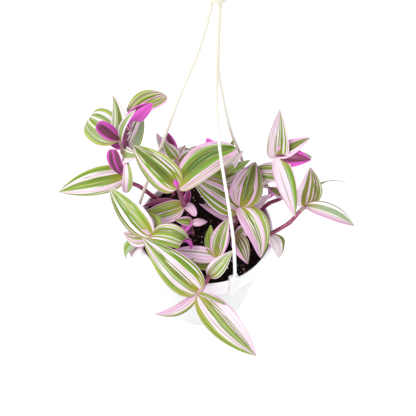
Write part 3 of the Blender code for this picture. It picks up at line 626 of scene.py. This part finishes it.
class Skin:
    """A material while its nodes are laid. Each step adds nodes and gives back what they put out."""

    def __init__(self, name, **finish):
        """Start the material, with constant values of its finish on its shader's sockets."""
        self.material = bpy.data.materials.new(name)
        self.material.use_nodes = True
        self.tree = self.material.node_tree
        self.shader = self.tree.nodes["Principled BSDF"]
        for socket, value in finish.items():
            self.shader.inputs[socket.replace("_", " ")].default_value = value

    def feed(self, socket, value):
        """Link another node's output to the socket, or set it to a number or a named colour."""
        if isinstance(value, bpy.types.NodeSocket):
            self.tree.links.new(value, socket)
        else:
            socket.default_value = paint(value) if isinstance(value, str) else value

    def node(self, kind, inputs=None, **settings):
        """A node with these settings and inputs."""
        made = self.tree.nodes.new(kind)
        for name, value in settings.items():
            setattr(made, name, value)
        for name, value in (inputs or {}).items():
            self.feed(made.inputs[name], value)
        return made

    def place(self):
        """Where a point lies on its object, in metres."""
        return self.node("ShaderNodeTexCoord").outputs["Object"]

    def mark(self, name):
        """A mark that the piece's points carry."""
        return self.node("ShaderNodeAttribute", attribute_name=name).outputs

    def split(self, vector):
        """The three numbers of a vector."""
        return self.node("ShaderNodeSeparateXYZ", {"Vector": vector}).outputs

    def calc(self, operation, *values):
        """One step of arithmetic."""
        made = self.node("ShaderNodeMath", operation=operation)
        for socket, value in zip(made.inputs, values):
            self.feed(socket, value)
        return made.outputs[0]

    def times(self, first, second):
        """One number times another."""
        return self.calc('MULTIPLY', first, second)

    def plus(self, first, second):
        """One number and another."""
        return self.calc('ADD', first, second)

    def swing(self, noise, amount):
        """A noise's distance from its middle, times the amount."""
        return self.times(self.calc('SUBTRACT', noise, 0.5), amount)

    def noise(self, place, scale, detail=2.0, rough=0.5):
        """Random values from 0 to 1 about a middle of 0.5."""
        return self.node("ShaderNodeTexNoise", {"Vector": place, "Scale": scale, "Detail": detail,
                                                "Roughness": rough}).outputs["Fac"]

    def streaks(self, width, length, detail, seed=0.0):
        """Noise drawn out along a surface, this wide and long in the units of its own map."""
        flat = self.split(self.node("ShaderNodeUVMap", uv_map="surface").outputs["UV"])
        spot = self.node("ShaderNodeCombineXYZ", {"X": self.times(flat["X"], 1 / width),
                                                  "Y": self.times(flat["Y"], 1 / length), "Z": seed})
        return self.noise(spot.outputs["Vector"], 1.0, detail)

    def spread(self, value, low, high, start=0.0, end=1.0):
        """The value's way from low to high, smoothed and carried to start and end."""
        return self.node("ShaderNodeMapRange", {"Value": value, "From Min": low, "From Max": high,
                                                "To Min": start, "To Max": end},
                         interpolation_type='SMOOTHSTEP').outputs["Result"]

    def blend(self, share, first, second):
        """The first colour, with this share of the second mixed in."""
        made = self.node("ShaderNodeMix", data_type='RGBA')
        for name, value in (("Factor_Float", share), ("A_Color", first), ("B_Color", second)):
            self.feed(next(socket for socket in made.inputs if socket.identifier == name), value)
        return next(socket for socket in made.outputs if socket.identifier == "Result_Color")

    def ladder(self, value, *stops):
        """Colours in steps along a value, as position and name."""
        made = self.node("ShaderNodeValToRGB", {"Fac": value})
        rungs = made.color_ramp.elements
        while len(rungs) < len(stops):
            rungs.new(0.5)
        for rung, (position, name) in zip(rungs, stops):
            rung.position = position
            rung.color = paint(name)
        return made.outputs["Color"]

    def finish(self, color, height=None, depth=0.0):
        """Hand the material over, with this colour and a bump of this depth in metres."""
        self.feed(self.shader.inputs["Base Color"], color)
        if height is not None:
            bump = self.node("ShaderNodeBump", {"Height": height, "Distance": depth, "Strength": 1.0})
            self.feed(self.shader.inputs["Normal"], bump.outputs["Normal"])
        return self.material


def blade_marks(skin):
    """A blade's bands, its place across and along, and the seed of its streaks."""
    bands, place = (skin.split(skin.mark(name)["Vector"]) for name in ("bands", "place"))
    return bands, place, skin.times(place["Z"], 37.0)


def leaf_top_skin():
    """Upper side: soft edged stripes of green, cream and lilac that run from root to tip, with veins."""
    skin = Skin("leaf_upper_skin", Roughness=0.5, Specular_IOR_Level=0.22)
    bands, place, seed = blade_marks(skin)
    broad = skin.streaks(0.0042, 0.11, 2.0, seed)
    fine = skin.streaks(0.0013, 0.09, 2.0, seed)
    veins = skin.streaks(0.0031, 0.2, 1.0, seed)
    cloudy = skin.streaks(0.012, 0.03, 1.0, seed)
    # The streaks pull the stripes' edges to and fro
    pull = skin.plus(skin.swing(broad, 0.7), skin.swing(fine, 1.2))
    green_share = skin.spread(skin.plus(bands["X"], pull), 0.34, 0.62)
    blush = skin.plus(bands["Y"], skin.swing(cloudy, 0.5))
    pale = skin.ladder(blush, (0.0, "leaf cream"), (0.45, "leaf pink"), (1.0, "leaf lilac"))
    green = skin.ladder(skin.plus(bands["Z"], skin.swing(broad, 0.3)), *GREENS)
    # Darker streaks, then thin veins where the veins' noise passes its middle
    green = skin.blend(skin.times(skin.spread(fine, 0.5, 0.32), 0.55), green, "olive streak")
    pale = skin.blend(skin.times(skin.spread(fine, 0.42, 0.3), 0.6), pale, "tan streak")
    vein = skin.spread(skin.calc('ABSOLUTE', skin.calc('SUBTRACT', veins, 0.5)), 0.035, 0.008)
    green = skin.blend(skin.times(vein, 0.32), green, "straw vein")
    pale = skin.blend(skin.times(vein, 0.55), pale, "moss vein")
    color = skin.blend(green_share, pale, green)
    # The green yellows towards the root, and the very edge is pink
    root = skin.times(skin.spread(place["Y"], 0.34, 0.02), 0.6)
    color = skin.blend(skin.times(root, green_share), color, "leaf root")
    edge = skin.spread(skin.calc('ABSOLUTE', place["X"]), 0.95, 0.985)
    color = skin.blend(skin.times(edge, 0.6), color, "leaf edge")
    return skin.finish(color, skin.plus(skin.times(fine, 0.6), skin.times(broad, 0.6)), 0.00035)


def leaf_under_skin():
    """Under side: bright magenta, dark purple brown under the green stripes."""
    skin = Skin("leaf_under_skin", Roughness=0.42, Specular_IOR_Level=0.4, Coat_Weight=0.08,
                Coat_Roughness=0.3)
    bands, place, seed = blade_marks(skin)
    broad = skin.streaks(0.005, 0.11, 2.0, seed)
    fine = skin.streaks(0.0012, 0.09, 2.0, seed)
    pull = skin.plus(skin.swing(broad, 1.2), skin.swing(fine, 1.5))
    dark_share = skin.spread(skin.plus(bands["X"], pull), 0.36, 0.8)
    mottle = skin.spread(fine, 0.35, 0.65)
    color = skin.blend(dark_share, skin.blend(mottle, "magenta", "bright magenta"),
                       skin.blend(mottle, "purple brown", "plum"))
    edge = skin.spread(skin.calc('ABSOLUTE', place["X"]), 0.93, 0.98)
    return skin.finish(skin.blend(edge, color, "under edge"), skin.plus(fine, broad), 0.0003)


def stalk_skin():
    """Fleshy stalk: maroon and purple with long streaks, tanned just above each joint."""
    skin = Skin("stalk_skin", Roughness=0.4, Specular_IOR_Level=0.45, Coat_Weight=0.12,
                Coat_Roughness=0.25)
    streak = skin.streaks(1 / 6, 1 / 45, 3.0)
    color = skin.ladder(streak, (0.3, "maroon"), (0.55, "stalk purple"), (0.75, "stalk pink"))
    color = skin.blend(skin.times(skin.mark("joint")["Fac"], 0.5), color, "joint tan")
    return skin.finish(color, streak, 0.0003)


def sheath_skin():
    """Leaf sheath: thin pale green and pink skin with lengthwise lines."""
    skin = Skin("sheath_skin", Roughness=0.45)
    streak = skin.streaks(1 / 14, 1 / 20, 2.0)
    color = skin.ladder(streak, (0.3, "sheath purple"), (0.5, "sheath pink"), (0.7, "sheath green"))
    return skin.finish(color, streak, 0.0003)


def pot_skin():
    """White moulded plastic: a faint orange peel, marks that change its gloss, and a band painted whiter
    than the body as a painted highlight.
    """
    skin = Skin("white_moulded_plastic", Specular_IOR_Level=0.45, Coat_Weight=0.05, Coat_Roughness=0.35)
    place = skin.place()
    color = skin.blend(skin.noise(place, 38.0, 3.0), "pot white", "pot cloud")
    band_bottom = -(RIM_DROP + BAND_HEIGHT) * METRES_PER_MM
    # Painted highlight: the band below the rim is whiter than the body below it, standing in for the light
    # that falls on it.
    color = skin.blend(skin.spread(skin.split(place)["Z"], band_bottom - 0.002, band_bottom), color,
                       "band painted highlight")
    handled = skin.noise(place, 160.0, 3.0)
    skin.feed(skin.shader.inputs["Roughness"], skin.spread(handled, 0.3, 0.7, 0.3, 0.46))
    return skin.finish(color, skin.noise(place, 900.0), 0.00003)


def hanger_skin():
    """Off-white flexible plastic, creamier towards the top, and darker on the far legs as painted shade."""
    skin = Skin("hanger_moulded_plastic", Roughness=0.36, Specular_IOR_Level=0.45)
    place = skin.place()
    spot = skin.split(place)
    # Painted shade: the legs towards the back and left are darkened to a dull tan, as if in shadow.
    far_leg_shade = skin.calc('MULTIPLY_ADD', spot["X"], -0.4, spot["Y"])
    color = skin.blend(skin.spread(far_leg_shade, 0.004, 0.034), "hanger white", "hanger painted shade")
    color = skin.blend(skin.spread(spot["Z"], -0.26, -0.11), color, "hanger cream")
    color = skin.blend(skin.times(skin.noise(place, 300.0), 0.12), color, "hanger shade")
    return skin.finish(color, skin.noise(place, 700.0), 0.00004)


def soil_skin():
    """Moist potting soil, nearly black, with brown fibres and small crumbs."""
    skin = Skin("moist_potting_soil", Roughness=0.85, Specular_IOR_Level=0.08)
    crumb = skin.noise(skin.place(), 420.0, 5.0, 0.7)
    color = skin.ladder(crumb, (0.4, "soil black"), (0.58, "soil dark"), (0.7, "soil brown"),
                        (0.8, "soil fibre"))
    return skin.finish(color, crumb, 0.0012)


def grain_skin(name, dark, light, scale, roughness):
    """A mineral or woody grain whose colour wanders between two."""
    skin = Skin(name + "_skin", Roughness=roughness, Specular_IOR_Level=0.14)
    grain = skin.noise(skin.place(), scale, 4.0, 0.6)
    return skin.finish(skin.blend(skin.spread(grain, 0.35, 0.65), dark, light), grain, 0.0004)


def floor_skin():
    """Plain pale paint, lit through so that it stays white behind the pot."""
    skin = Skin("pale_floor", Roughness=0.9, Specular_IOR_Level=0.1,
                Emission_Color=(1.0, 1.0, 1.0, 1.0), Emission_Strength=0.3)
    return skin.finish(skin.blend(skin.noise(skin.place(), 1.5, 1.0), "floor", "floor cloud"))


# Leaves and stalks

def outline_share(along, swell):
    """The blade's half width at each share of its length, as a share of the widest."""
    rise, fall = swell
    top = (rise / (rise + fall)) ** rise * (fall / (rise + fall)) ** fall
    return along ** rise * (1 - along) ** fall / top


def blade_surface(root, design, along, across, seed):
    """The blade's middle surface.

    Its half width follows along^rise (1 - along)^fall, and is never less than that of a neck at the root.
    It is folded to a V whose keel is rounded as sqrt(across^2 + keel^2), turned about its length, arched
    and swayed as 4 a (1 - a), dropped at the tip as the square of the last part, waved near its edges as
    a sine, and pleated finely along its veins as a cosine.
    """
    reach = np.asarray(design["reach"], float)
    length = np.linalg.norm(reach)
    ahead = reach / length
    face = np.asarray(design["face"], float)
    face = unit(face - np.dot(face, ahead) * ahead)
    side = np.cross(ahead, face)
    width = design["width"]
    body = 4 * along * (1 - along)
    tip = progress(along, TIP_START, 1) ** 2
    half = np.maximum(outline_share(along, design["swell"]), NECK_SHARE * (1 - along) ** 3)
    half = np.maximum(width / 2 * half, LEAST_HALF_WIDTH)
    fold = np.radians(design["fold"]) * (1 - FOLD_LOSS * along)
    lateral = across * half * np.cos(fold)
    rise = (np.sqrt(across ** 2 + KEEL ** 2) - KEEL) * half * np.sin(fold)
    wave = np.sin(2 * math.pi * WAVES * along + WAVE_SLANT * across + WAVE_START_PER_SEED * seed)
    rise = rise + WAVE_HEIGHT * width * across ** 2 * body * wave
    rise = rise + (PLEAT_HEIGHT * half * np.cos(PLEATS * math.pi * across)
                   * progress(half, 0, FULLY_PLEATED_HALF_WIDTH))
    twist = np.radians(design["twist"]) * eased(progress(along, *design["turn"]))
    sideways = lateral * np.cos(twist) - rise * np.sin(twist) + design["sway"] * body
    outwards = (lateral * np.sin(twist) + rise * np.cos(twist) + design["arch"] * body
                - design["curl"] * tip)
    forward = length * along - CURL_DRAW * abs(design["curl"]) * tip
    return (np.asarray(root) + forward[..., None] * ahead + outwards[..., None] * face
            + sideways[..., None] * side)


def stripe_marks(design, along, across, seed):
    """Greenness, blush and kind of green over the blade, read from its letters.

    The letters are spread evenly from edge to edge. The reading place wanders a little from root to
    tip, the tip loses green and blushes, and the root's green is of a paler kind.
    """
    letters = np.array([STRIPES[letter] for letter in design["stripes"]])
    wander = STRIPE_WANDER * np.sin(2 * math.pi * (0.8 * along + 3 * seed))
    spot = (np.clip(across + wander * (1 - across ** 2), -1, 1) + 1) / 2 * len(letters) - 0.5
    marks = [np.interp(spot, np.arange(len(letters)), part) + amount * progress(along, start, end)
             for part, (amount, start, end) in zip(letters.T, (TIP_FADE, TIP_BLUSH, ROOT_PALING))]
    return np.stack(marks, -1)


def grow_blade(blades, root, design, seed):
    """Add a blade: two sheets a thin fleshy thickness apart, thinner at the edges, and its rim."""
    rows, columns = WIDE_BLADE_GRID if design["width"] >= WIDE_BLADE else SMALL_BLADE_GRID
    along = np.linspace(0, 1, rows + 1)[:, None]
    across = np.linspace(-1, 1, columns + 1)[None, :]
    middle = blade_surface(root, design, along, across, seed)
    normal = unit(np.cross(np.gradient(middle, axis=0), np.gradient(middle, axis=1)))
    thick = BLADE_HALF_THICKNESS * (1 - EDGE_THINNING * across ** 2) * (1 - TIP_THINNING * along)
    thick = thick[..., None]
    bands = stripe_marks(design, along, across, seed)
    place = np.stack(np.broadcast_arrays(across, along, seed), -1)
    size = np.array([design["width"] / 2, np.linalg.norm(design["reach"])]) * METRES_PER_MM
    faces = grid_faces(rows + 1, columns + 1)
    index = np.arange((rows + 1) * (columns + 1)).reshape(rows + 1, columns + 1)
    border = np.concatenate([index[0, :-1], index[:-1, -1], index[-1, :0:-1], index[:0:-1, 0]])
    after = np.roll(border, -1)
    rim = np.column_stack([border + index.size, after + index.size, after, border])
    blades.add([middle - normal * thick, middle + normal * thick],
               np.vstack([faces, rim, faces[:, ::-1] + index.size]),
               slot=np.repeat([0, 1], [len(faces) + len(rim), len(faces)]),
               bands=np.stack([bands, bands]), place=np.stack([place, place]),
               surface=np.stack([place[..., :2] * size] * 2))


def stalk_map(distances):
    """A map for rings at these distances: the share of the way round, and metres along the stalk."""
    share = np.tile(np.arange(STALK_SIDES) / STALK_SIDES, len(distances))
    return np.column_stack([share, np.repeat(distances * METRES_PER_MM, STALK_SIDES)])


def grow_stalk(stalks, route, radii, leaves):
    """Add a stalk: a rod along the route that swells at each joint, and a sheath below each leaf.

    Each swelling is a bell curve of the distance from its joint, and the ends are rounded as a circle.
    """
    total = lengths_along(route)[-1]
    joints = sorted({round(design["place"] * total, 1) for design in leaves})
    joints = np.array(joints + [(low + high) / 2 for low, high in zip([STEM_BURIED] + joints, joints)
                                if high - low > LONGEST_PLAIN_STRETCH])
    steps = np.unique(np.concatenate([np.linspace(0, total, int(total / RING_STEP) + 2)]
                                     + [joint + np.linspace(-JOINT_HALF_LENGTH, JOINT_HALF_LENGTH, 9)
                                        for joint in joints]))
    steps = steps[(steps >= 0) & (steps <= total)]
    past_joint = steps[:, None] - joints
    swelling = np.exp(-(past_joint / JOINT_REACH) ** 2).max(axis=1)
    end = progress(np.minimum(steps, total - steps), 0, STALK_END)
    radius = (np.interp(steps, [0, total], radii) * (1 + JOINT_SWELLING * swelling)
              * np.sqrt(1 - STALK_END_ROUNDNESS * (1 - end) ** 2))
    tan = np.exp(-np.maximum(past_joint / TAN_REACH, 0) ** 2) * (steps[:, None] >= joints - TAN_BELOW)
    joint = np.concatenate([np.repeat(tan.max(axis=1), STALK_SIDES), [0, 0]])
    stalks.add(*rod(read_route(route, steps), radius, STALK_SIDES), joint=joint,
               surface=np.vstack([stalk_map(steps), [(0, 0)], [(0, total * METRES_PER_MM)]]))
    for design in leaves:
        add_sheath(stalks, route, design["place"] * total, radii, design["width"])


def add_sheath(stalks, route, top, radii, leaf_width):
    """Add a thin cup that wraps the stalk below a leaf.

    Its outline goes up the outer wall, over the lip and down the inner wall: share of the sheath's
    height, and how far it stands off the stalk. Rings at these heights are square to the stalk.
    """
    outline = [(0.0, -0.35), (0.06, 0.12), (0.3, 0.3), (0.6, 0.42), (0.85, 0.62), (1.0, 0.95),
               (1.0, 0.75), (0.85, 0.35), (0.4, -0.4), (0.0, -0.5)]
    share, stand = np.array(outline).T
    total = lengths_along(route)[-1]
    tall = SHEATH_HEIGHT + SHEATH_HEIGHT_PER_WIDTH * leaf_width
    distances = np.clip(top - tall * (1 - share) + 0.8, 0.2, total - 0.05)
    ahead = unit(read_route(route, np.minimum(distances + 0.5, total))
                 - read_route(route, np.maximum(distances - 0.5, 0)))
    radius = np.interp(distances, [0, total], radii) + stand * min(1.0, 0.03 * leaf_width + 0.3)
    across = unit(np.cross(ahead, SLANT_UP))
    up = np.cross(ahead, across)
    angles = around(STALK_SIDES)[:, None]
    rings = read_route(route, distances)[:, None] + radius[:, None, None] * (
        np.cos(angles) * across[:, None] + np.sin(angles) * up[:, None])
    quads = grid_faces(len(share), STALK_SIDES, wrap_rows=True, wrap_columns=True)
    stalks.add(rings, quads, slot=1, surface=stalk_map(distances),
               joint=np.zeros(len(share) * STALK_SIDES))


def make_leafy_stems():
    """Each leafy stem: its stalk and its blades, two pieces that stand for one node."""
    leaf_skins, stalk_skins = [leaf_top_skin(), leaf_under_skin()], [stalk_skin(), sheath_skin()]
    draws = np.random.default_rng(11)
    for name, design in STEMS.items():
        x, y = design["foot"]
        above = smooth_route([(x, y, STEM_COLLAR - SOIL_DEPTH)] + design["route"], STALK_STEPS)
        route = np.vstack([[(x, y, -SOIL_DEPTH - STEM_BURIED), (x, y, -SOIL_DEPTH)], above])
        grown = [(route, design["radii"], design["leaves"])]
        if "branch" in design:
            branch = smooth_route(design["branch"], STALK_STEPS)
            grown.append((branch, design["branch_radii"], design["branch_leaves"]))
        blades, stalks = Surfaces(), Surfaces()
        for path, radii, leaves in grown:
            grow_stalk(stalks, path, radii, leaves)
            total = lengths_along(path)[-1]
            for each in leaves:
                root = read_route(path, [each["place"] * total])[0]
                grow_blade(blades, root, each, float(draws.uniform(0, 1)))
        replaced = ["leafy_stem_" + name]
        stalks.piece("stalk_" + name, stalk_skins, replaced, "striped_leaf", crease=60)
        blades.piece("blades_" + name, leaf_skins, replaced, "striped_leaf", crease=60)


# Pot, soil and hanger

def make_pot():
    """The pot turned from a rounded profile, with its drain holes bored through the floor."""
    inner_radius = RIM_RADIUS - RIM_WALL
    outline = [(0, FLOOR_UNDERSIDE), (BASE_RADIUS - 6.5, FLOOR_UNDERSIDE),
               (BASE_RADIUS - 5.5, -POT_HEIGHT), (BASE_RADIUS - 1.0, -POT_HEIGHT),
               (BASE_RADIUS + 0.2, 1.2 - POT_HEIGHT), (BODY_TOP_RADIUS, -BAND_HEIGHT),
               (RIM_RADIUS - 2.0, -BAND_HEIGHT), (RIM_RADIUS - 0.4, 2.0 - BAND_HEIGHT),
               (RIM_RADIUS, -0.9), (RIM_RADIUS - RIM_WALL / 2, 0.15), (inner_radius + 0.3, -0.3),
               (inner_radius, -1.2), (inner_radius - 0.2, 3.0 - BAND_HEIGHT),
               (BODY_TOP_RADIUS - WALL, -BAND_HEIGHT - 0.2), (BASE_RADIUS - WALL, FLOOR_TOP),
               (0, FLOOR_TOP)]
    pot = Surfaces()
    pot.add(*turned(rounded(outline, 1.1), POT_SIDES))
    body = pot.piece("pot_shell", [pot_skin()], ["pot"], "pot_plastic", crease=35)
    drills = Surfaces()
    for angle in around(DRAIN_HOLES):
        drill = np.array([(DRAIN_CIRCLE, 0, -POT_HEIGHT - 1), (DRAIN_CIRCLE, 0, FLOOR_TOP + 2)])
        drills.add(*rod(spun(drill, angle), [DRAIN_RADIUS, DRAIN_RADIUS], DRAIN_SIDES))
    cutter = drills.piece("drills", [], [], "pot_plastic")
    bore = body.modifiers.new("bore", 'BOOLEAN')
    bore.operation = 'DIFFERENCE'
    bore.object = cutter
    graph = bpy.context.evaluated_depsgraph_get()
    bored = bpy.data.meshes.new_from_object(body.evaluated_get(graph))
    body.modifiers.clear()
    body.data = bored
    bpy.data.objects.remove(cutter)


def lumps(places, sizes, seed, squash):
    """Small uneven grains, as whole arrays: a ball of a few points, pushed in and out at random.

    A point of the ball is its bulge times (sin tilt cos turn, sin tilt sin turn, -cos tilt), squashed by
    a share of its own along each axis, and the whole grain is spun about the upright axis.
    """
    draws = np.random.default_rng(seed)
    count = len(places)
    tilt = np.linspace(0, math.pi, GRAIN_ROWS)[:, None]
    turn = around(GRAIN_SIDES)
    bulge = draws.uniform(*GRAIN_BULGE, (count, GRAIN_ROWS, GRAIN_SIDES))
    bulge[:, 0] = bulge[:, 0, :1]
    bulge[:, -1] = bulge[:, -1, :1]
    ball = np.stack(np.broadcast_arrays(np.sin(tilt) * np.cos(turn), np.sin(tilt) * np.sin(turn),
                                        -np.cos(tilt)), -1)
    shape = np.column_stack([draws.uniform(*squash, count), draws.uniform(*squash, count),
                             draws.uniform(*GRAIN_FLATNESS, count)])
    grains = bulge[..., None] * ball * (shape * sizes[:, None])[:, None, None]
    points = spun(grains, draws.uniform(0, 2 * math.pi, count)[:, None, None]) + places[:, None, None]
    rings = GRAIN_ROWS - 2
    every = np.concatenate([points[:, 1:-1].reshape(count, rings * GRAIN_SIDES, 3),
                            points[:, :1, 0], points[:, -1:, 0]], 1)
    offset = (np.arange(count) * every.shape[1])[:, None, None]
    quads, caps = stack_faces(rings, GRAIN_SIDES)
    return every, (quads + offset).reshape(-1, 4), (caps + offset).reshape(-1, 3)


def soil_height(x, y):
    """The soil's top: lumps of each size, and a dip towards the wall."""
    bumps = sum(height * (lumpy(x + LATTICE_SHIFT, y + LATTICE_SHIFT, cell, seed) - 0.5)
                for seed, (cell, height) in enumerate(SOIL_LUMPS, 1))
    return -SOIL_DEPTH + bumps - DIP_DEPTH * progress(np.hypot(x, y), DIP_START, DIP_END)


def make_soil():
    """Soil in the pot: a lumpy top on a fine polar grid, its side, its underside, and loose grains."""
    top = circles([(radius, 0) for radius in np.linspace(SOIL_EYE, SOIL_RADIUS, SOIL_RINGS)[::-1]],
                  SOIL_SIDES)
    top[..., 2] = soil_height(top[..., 0], top[..., 1])
    foot_radius, foot = BASE_RADIUS - WALL - GAP - 1, FLOOR_TOP + 1
    below = [(foot_radius / 2, foot - 0.6), (foot_radius, foot),
             (BODY_TOP_RADIUS - WALL - GAP, -BAND_HEIGHT - 0.5)]
    soil = Surfaces()
    soil.add(*closed_stack(np.concatenate([circles(below, SOIL_SIDES), top]), (0, 0, foot - 0.6),
                           (0, 0, soil_height(0, 0))))
    soil.piece("soil_bed", [soil_skin()], ["soil"], "potting_soil", crease=180)
    draws = np.random.default_rng(5)
    for seed, (name, count, size, squash, dark, light, scale, rough) in enumerate(GRAINS, 20):
        distance = (SOIL_RADIUS - GRAINLESS_EDGE) * np.sqrt(draws.random(count))
        turn = draws.uniform(0, 2 * math.pi, count)
        x, y = distance * np.cos(turn), distance * np.sin(turn)
        sizes = draws.uniform(*size, count)
        places = np.column_stack([x, y, soil_height(x, y) + GRAIN_LIFT * sizes])
        grains = Surfaces()
        grains.add(*lumps(places, sizes, seed, squash))
        grains.piece(name, [grain_skin(name, dark, light, scale, rough)], ["soil"], "potting_soil",
                     crease=60)


def make_hook(skin):
    """The hub, turned, with the hook's rod sunk into it: a short lead, then an arc with a rounded end."""
    top = HUB_BOTTOM + HUB_HEIGHT
    outline = [(0, HUB_BOTTOM), (HUB_RADIUS - 1, HUB_BOTTOM), (HUB_RADIUS, HUB_BOTTOM + 1),
               (HUB_RADIUS, top), (HUB_RADIUS - 1.5, top + 2), (HOOK_WIRE + 1.2, top + 4),
               (HOOK_WIRE + 0.3, top + 6), (0, top + 6)]
    hook = Surfaces()
    hook.add(*turned(rounded(outline, 0.8), HUB_SIDES))
    turn = np.radians(np.arange(HOOK_START, HOOK_END + 1, 5))
    middle = RIM_DROP - HOOK_RADIUS + HOOK_WIRE
    arc = np.column_stack([HOOK_RADIUS * np.cos(turn), np.zeros(len(turn)),
                           middle + HOOK_RADIUS * np.sin(turn)])
    lead = smooth_route([(0, 0, top + 3), (0, 0, top + 7), arc[0]], HANGER_STEPS)[:-1]
    route = np.vstack([lead, arc])
    walked = lengths_along(route)
    end = progress(walked[-1] - walked, 0, HOOK_WIRE)
    radius = HOOK_WIRE * np.sqrt(np.clip(1 - (1 - end) ** 2, 0.01, 1))
    hook.add(*rod(route, radius, HOOK_SIDES))
    hook.piece("hook_and_hub", [skin], ["hanger_hook"], "hanger_plastic")


def clip_rings():
    """The clip that straddles the rim: a rounded outline carried across its width, smaller at its ends."""
    under = -BAND_HEIGHT - GAP - 0.1
    innermost, outermost = CLIP_INSIDE - CLIP_INNER_WALL, CLIP_OUTSIDE + CLIP_OUTER_WALL
    ledge = CLIP_OUTSIDE - CLIP_LEDGE
    outline = np.array([(innermost, CLIP_TOP), (innermost, -CLIP_TONGUE), (CLIP_INSIDE, -CLIP_TONGUE),
                        (CLIP_INSIDE, GAP), (CLIP_OUTSIDE, GAP), (CLIP_OUTSIDE, under), (ledge, under),
                        (ledge, under - CLIP_LIP), (outermost, under - CLIP_LIP), (outermost, CLIP_TOP)])
    start = (outline[0] + outline[-1]) / 2
    loop = rounded(np.vstack([start, outline, start]), 0.7)[:-1]
    along = unit(np.roll(loop, -1, axis=0) - np.roll(loop, 1, axis=0))
    inwards = np.column_stack([-along[:, 1], along[:, 0]])
    edge = [(CLIP_HALF_WIDTH, 0.45), (CLIP_HALF_WIDTH - 0.22, 0.192), (CLIP_HALF_WIDTH - 0.75, 0.0)]
    across = [(-y, shrink) for y, shrink in edge] + edge[::-1]
    return np.array([np.insert(loop + inwards * shrink, 1, y, axis=1) for y, shrink in across])


def make_legs(skin):
    """The three legs: a bowed rod and a clip, made pointing right and then turned about the pot."""
    rings = clip_rings()
    foot = (CLIP_INSIDE + CLIP_OUTSIDE) / 2
    for name, (way, bow) in LEGS.items():
        low, high = [(foot, 0, 1.4), (foot, 0, 6)], [(LEG_CIRCLE, 0, HUB_BOTTOM + rise) for rise in (-6, 8)]
        route = smooth_route(low + bow + high, HANGER_STEPS)
        walked = lengths_along(route)
        radius = np.interp(walked, [0, walked[-1]], [LEG_RADIUS_LOW, LEG_RADIUS_HIGH])
        points, quads, caps = rod(route, radius, LEG_SIDES)
        leg = Surfaces()
        leg.add(spun(points, math.radians(way)), quads, caps)
        leg.add(spun(rings, math.radians(way)), grid_faces(*rings.shape[:2], wrap_columns=True))
        body = leg.piece("smooth_" + name, [skin], [name], "hanger_plastic", crease=40)
        fill_ends(body.data)


def fill_ends(mesh):
    """Close the clip's two open ends with triangles, and point every face outwards."""
    shell = bmesh.new()
    shell.from_mesh(mesh)
    bmesh.ops.holes_fill(shell, edges=[edge for edge in shell.edges if edge.is_boundary], sides=0)
    bmesh.ops.triangulate(shell, faces=[face for face in shell.faces if len(face.verts) > 4])
    bmesh.ops.recalc_face_normals(shell, faces=shell.faces)
    shell.to_mesh(mesh)
    shell.free()


# Floor, light and camera

def make_floor():
    """A plain pale floor well below the pot."""
    corners = [(-1, -1), (1, -1), (1, 1), (-1, 1)]
    mesh = bpy.data.meshes.new("floor")
    mesh.from_pydata([(x * FLOOR_HALF, y * FLOOR_HALF, FLOOR_HEIGHT) for x, y in corners], [],
                     [(0, 1, 2, 3)])
    mesh.materials.append(floor_skin())
    floor = new_object("floor", mesh)


def add_light(name, place, size, power, color):
    """A square soft light that faces the plant."""
    data = bpy.data.lights.new(name, 'AREA')
    data.size = size
    data.energy = power
    data.color = color
    light = new_object(name, data)
    light.location = place
    light.rotation_euler = (Vector(LIGHT_TARGET) - light.location).to_track_quat('-Z', 'Y').to_euler()


def light_scene():
    """Soft studio light: a bright surround, a broad key above the viewer's left and a weak fill."""
    world = bpy.data.worlds.new("studio")
    world.use_nodes = True
    surround = world.node_tree.nodes["Background"].inputs
    surround["Color"].default_value = (1.0, 1.0, 1.0, 1.0)
    surround["Strength"].default_value = SURROUND_STRENGTH
    bpy.context.scene.world = world
    add_light("key", (-1.1, -0.6, 1.1), 0.8, 24, (1.0, 0.99, 0.97))
    add_light("fill", (1.2, -0.6, 0.6), 1.2, 6, (0.97, 0.98, 1.0))
    bpy.context.scene.view_settings.view_transform = 'Standard'


def place_camera():
    """The photograph's view: looking down at the rim, and turned a little about its own line."""
    data = bpy.data.cameras.new("camera")
    data.sensor_width = SENSOR
    data.lens = FOCAL_PIXELS / PICTURE_PIXELS * SENSOR
    camera = new_object("camera", data)
    down, roll = math.radians(CAMERA_DOWN), math.radians(CAMERA_ROLL)
    ahead = np.array([0, math.cos(down), -math.sin(down)])
    right, up = np.array([1.0, 0, 0]), np.array([0, math.sin(down), math.cos(down)])
    side = right * math.cos(roll) - up * math.sin(roll)
    top = right * math.sin(roll) + up * math.cos(roll)
    aim = np.array(CAMERA_AIM) - [0, 0, RIM_DROP * METRES_PER_MM]
    rows = np.column_stack([side, top, -ahead, aim - CAMERA_DISTANCE * ahead])
    camera.matrix_world = Matrix([*rows.tolist(), (0, 0, 0, 1)])
    bpy.context.scene.camera = camera


place_camera()
light_scene()
make_floor()
make_pot()
make_soil()
hanger_plastic = hanger_skin()
make_hook(hanger_plastic)
make_legs(hanger_plastic)
make_leafy_stems()
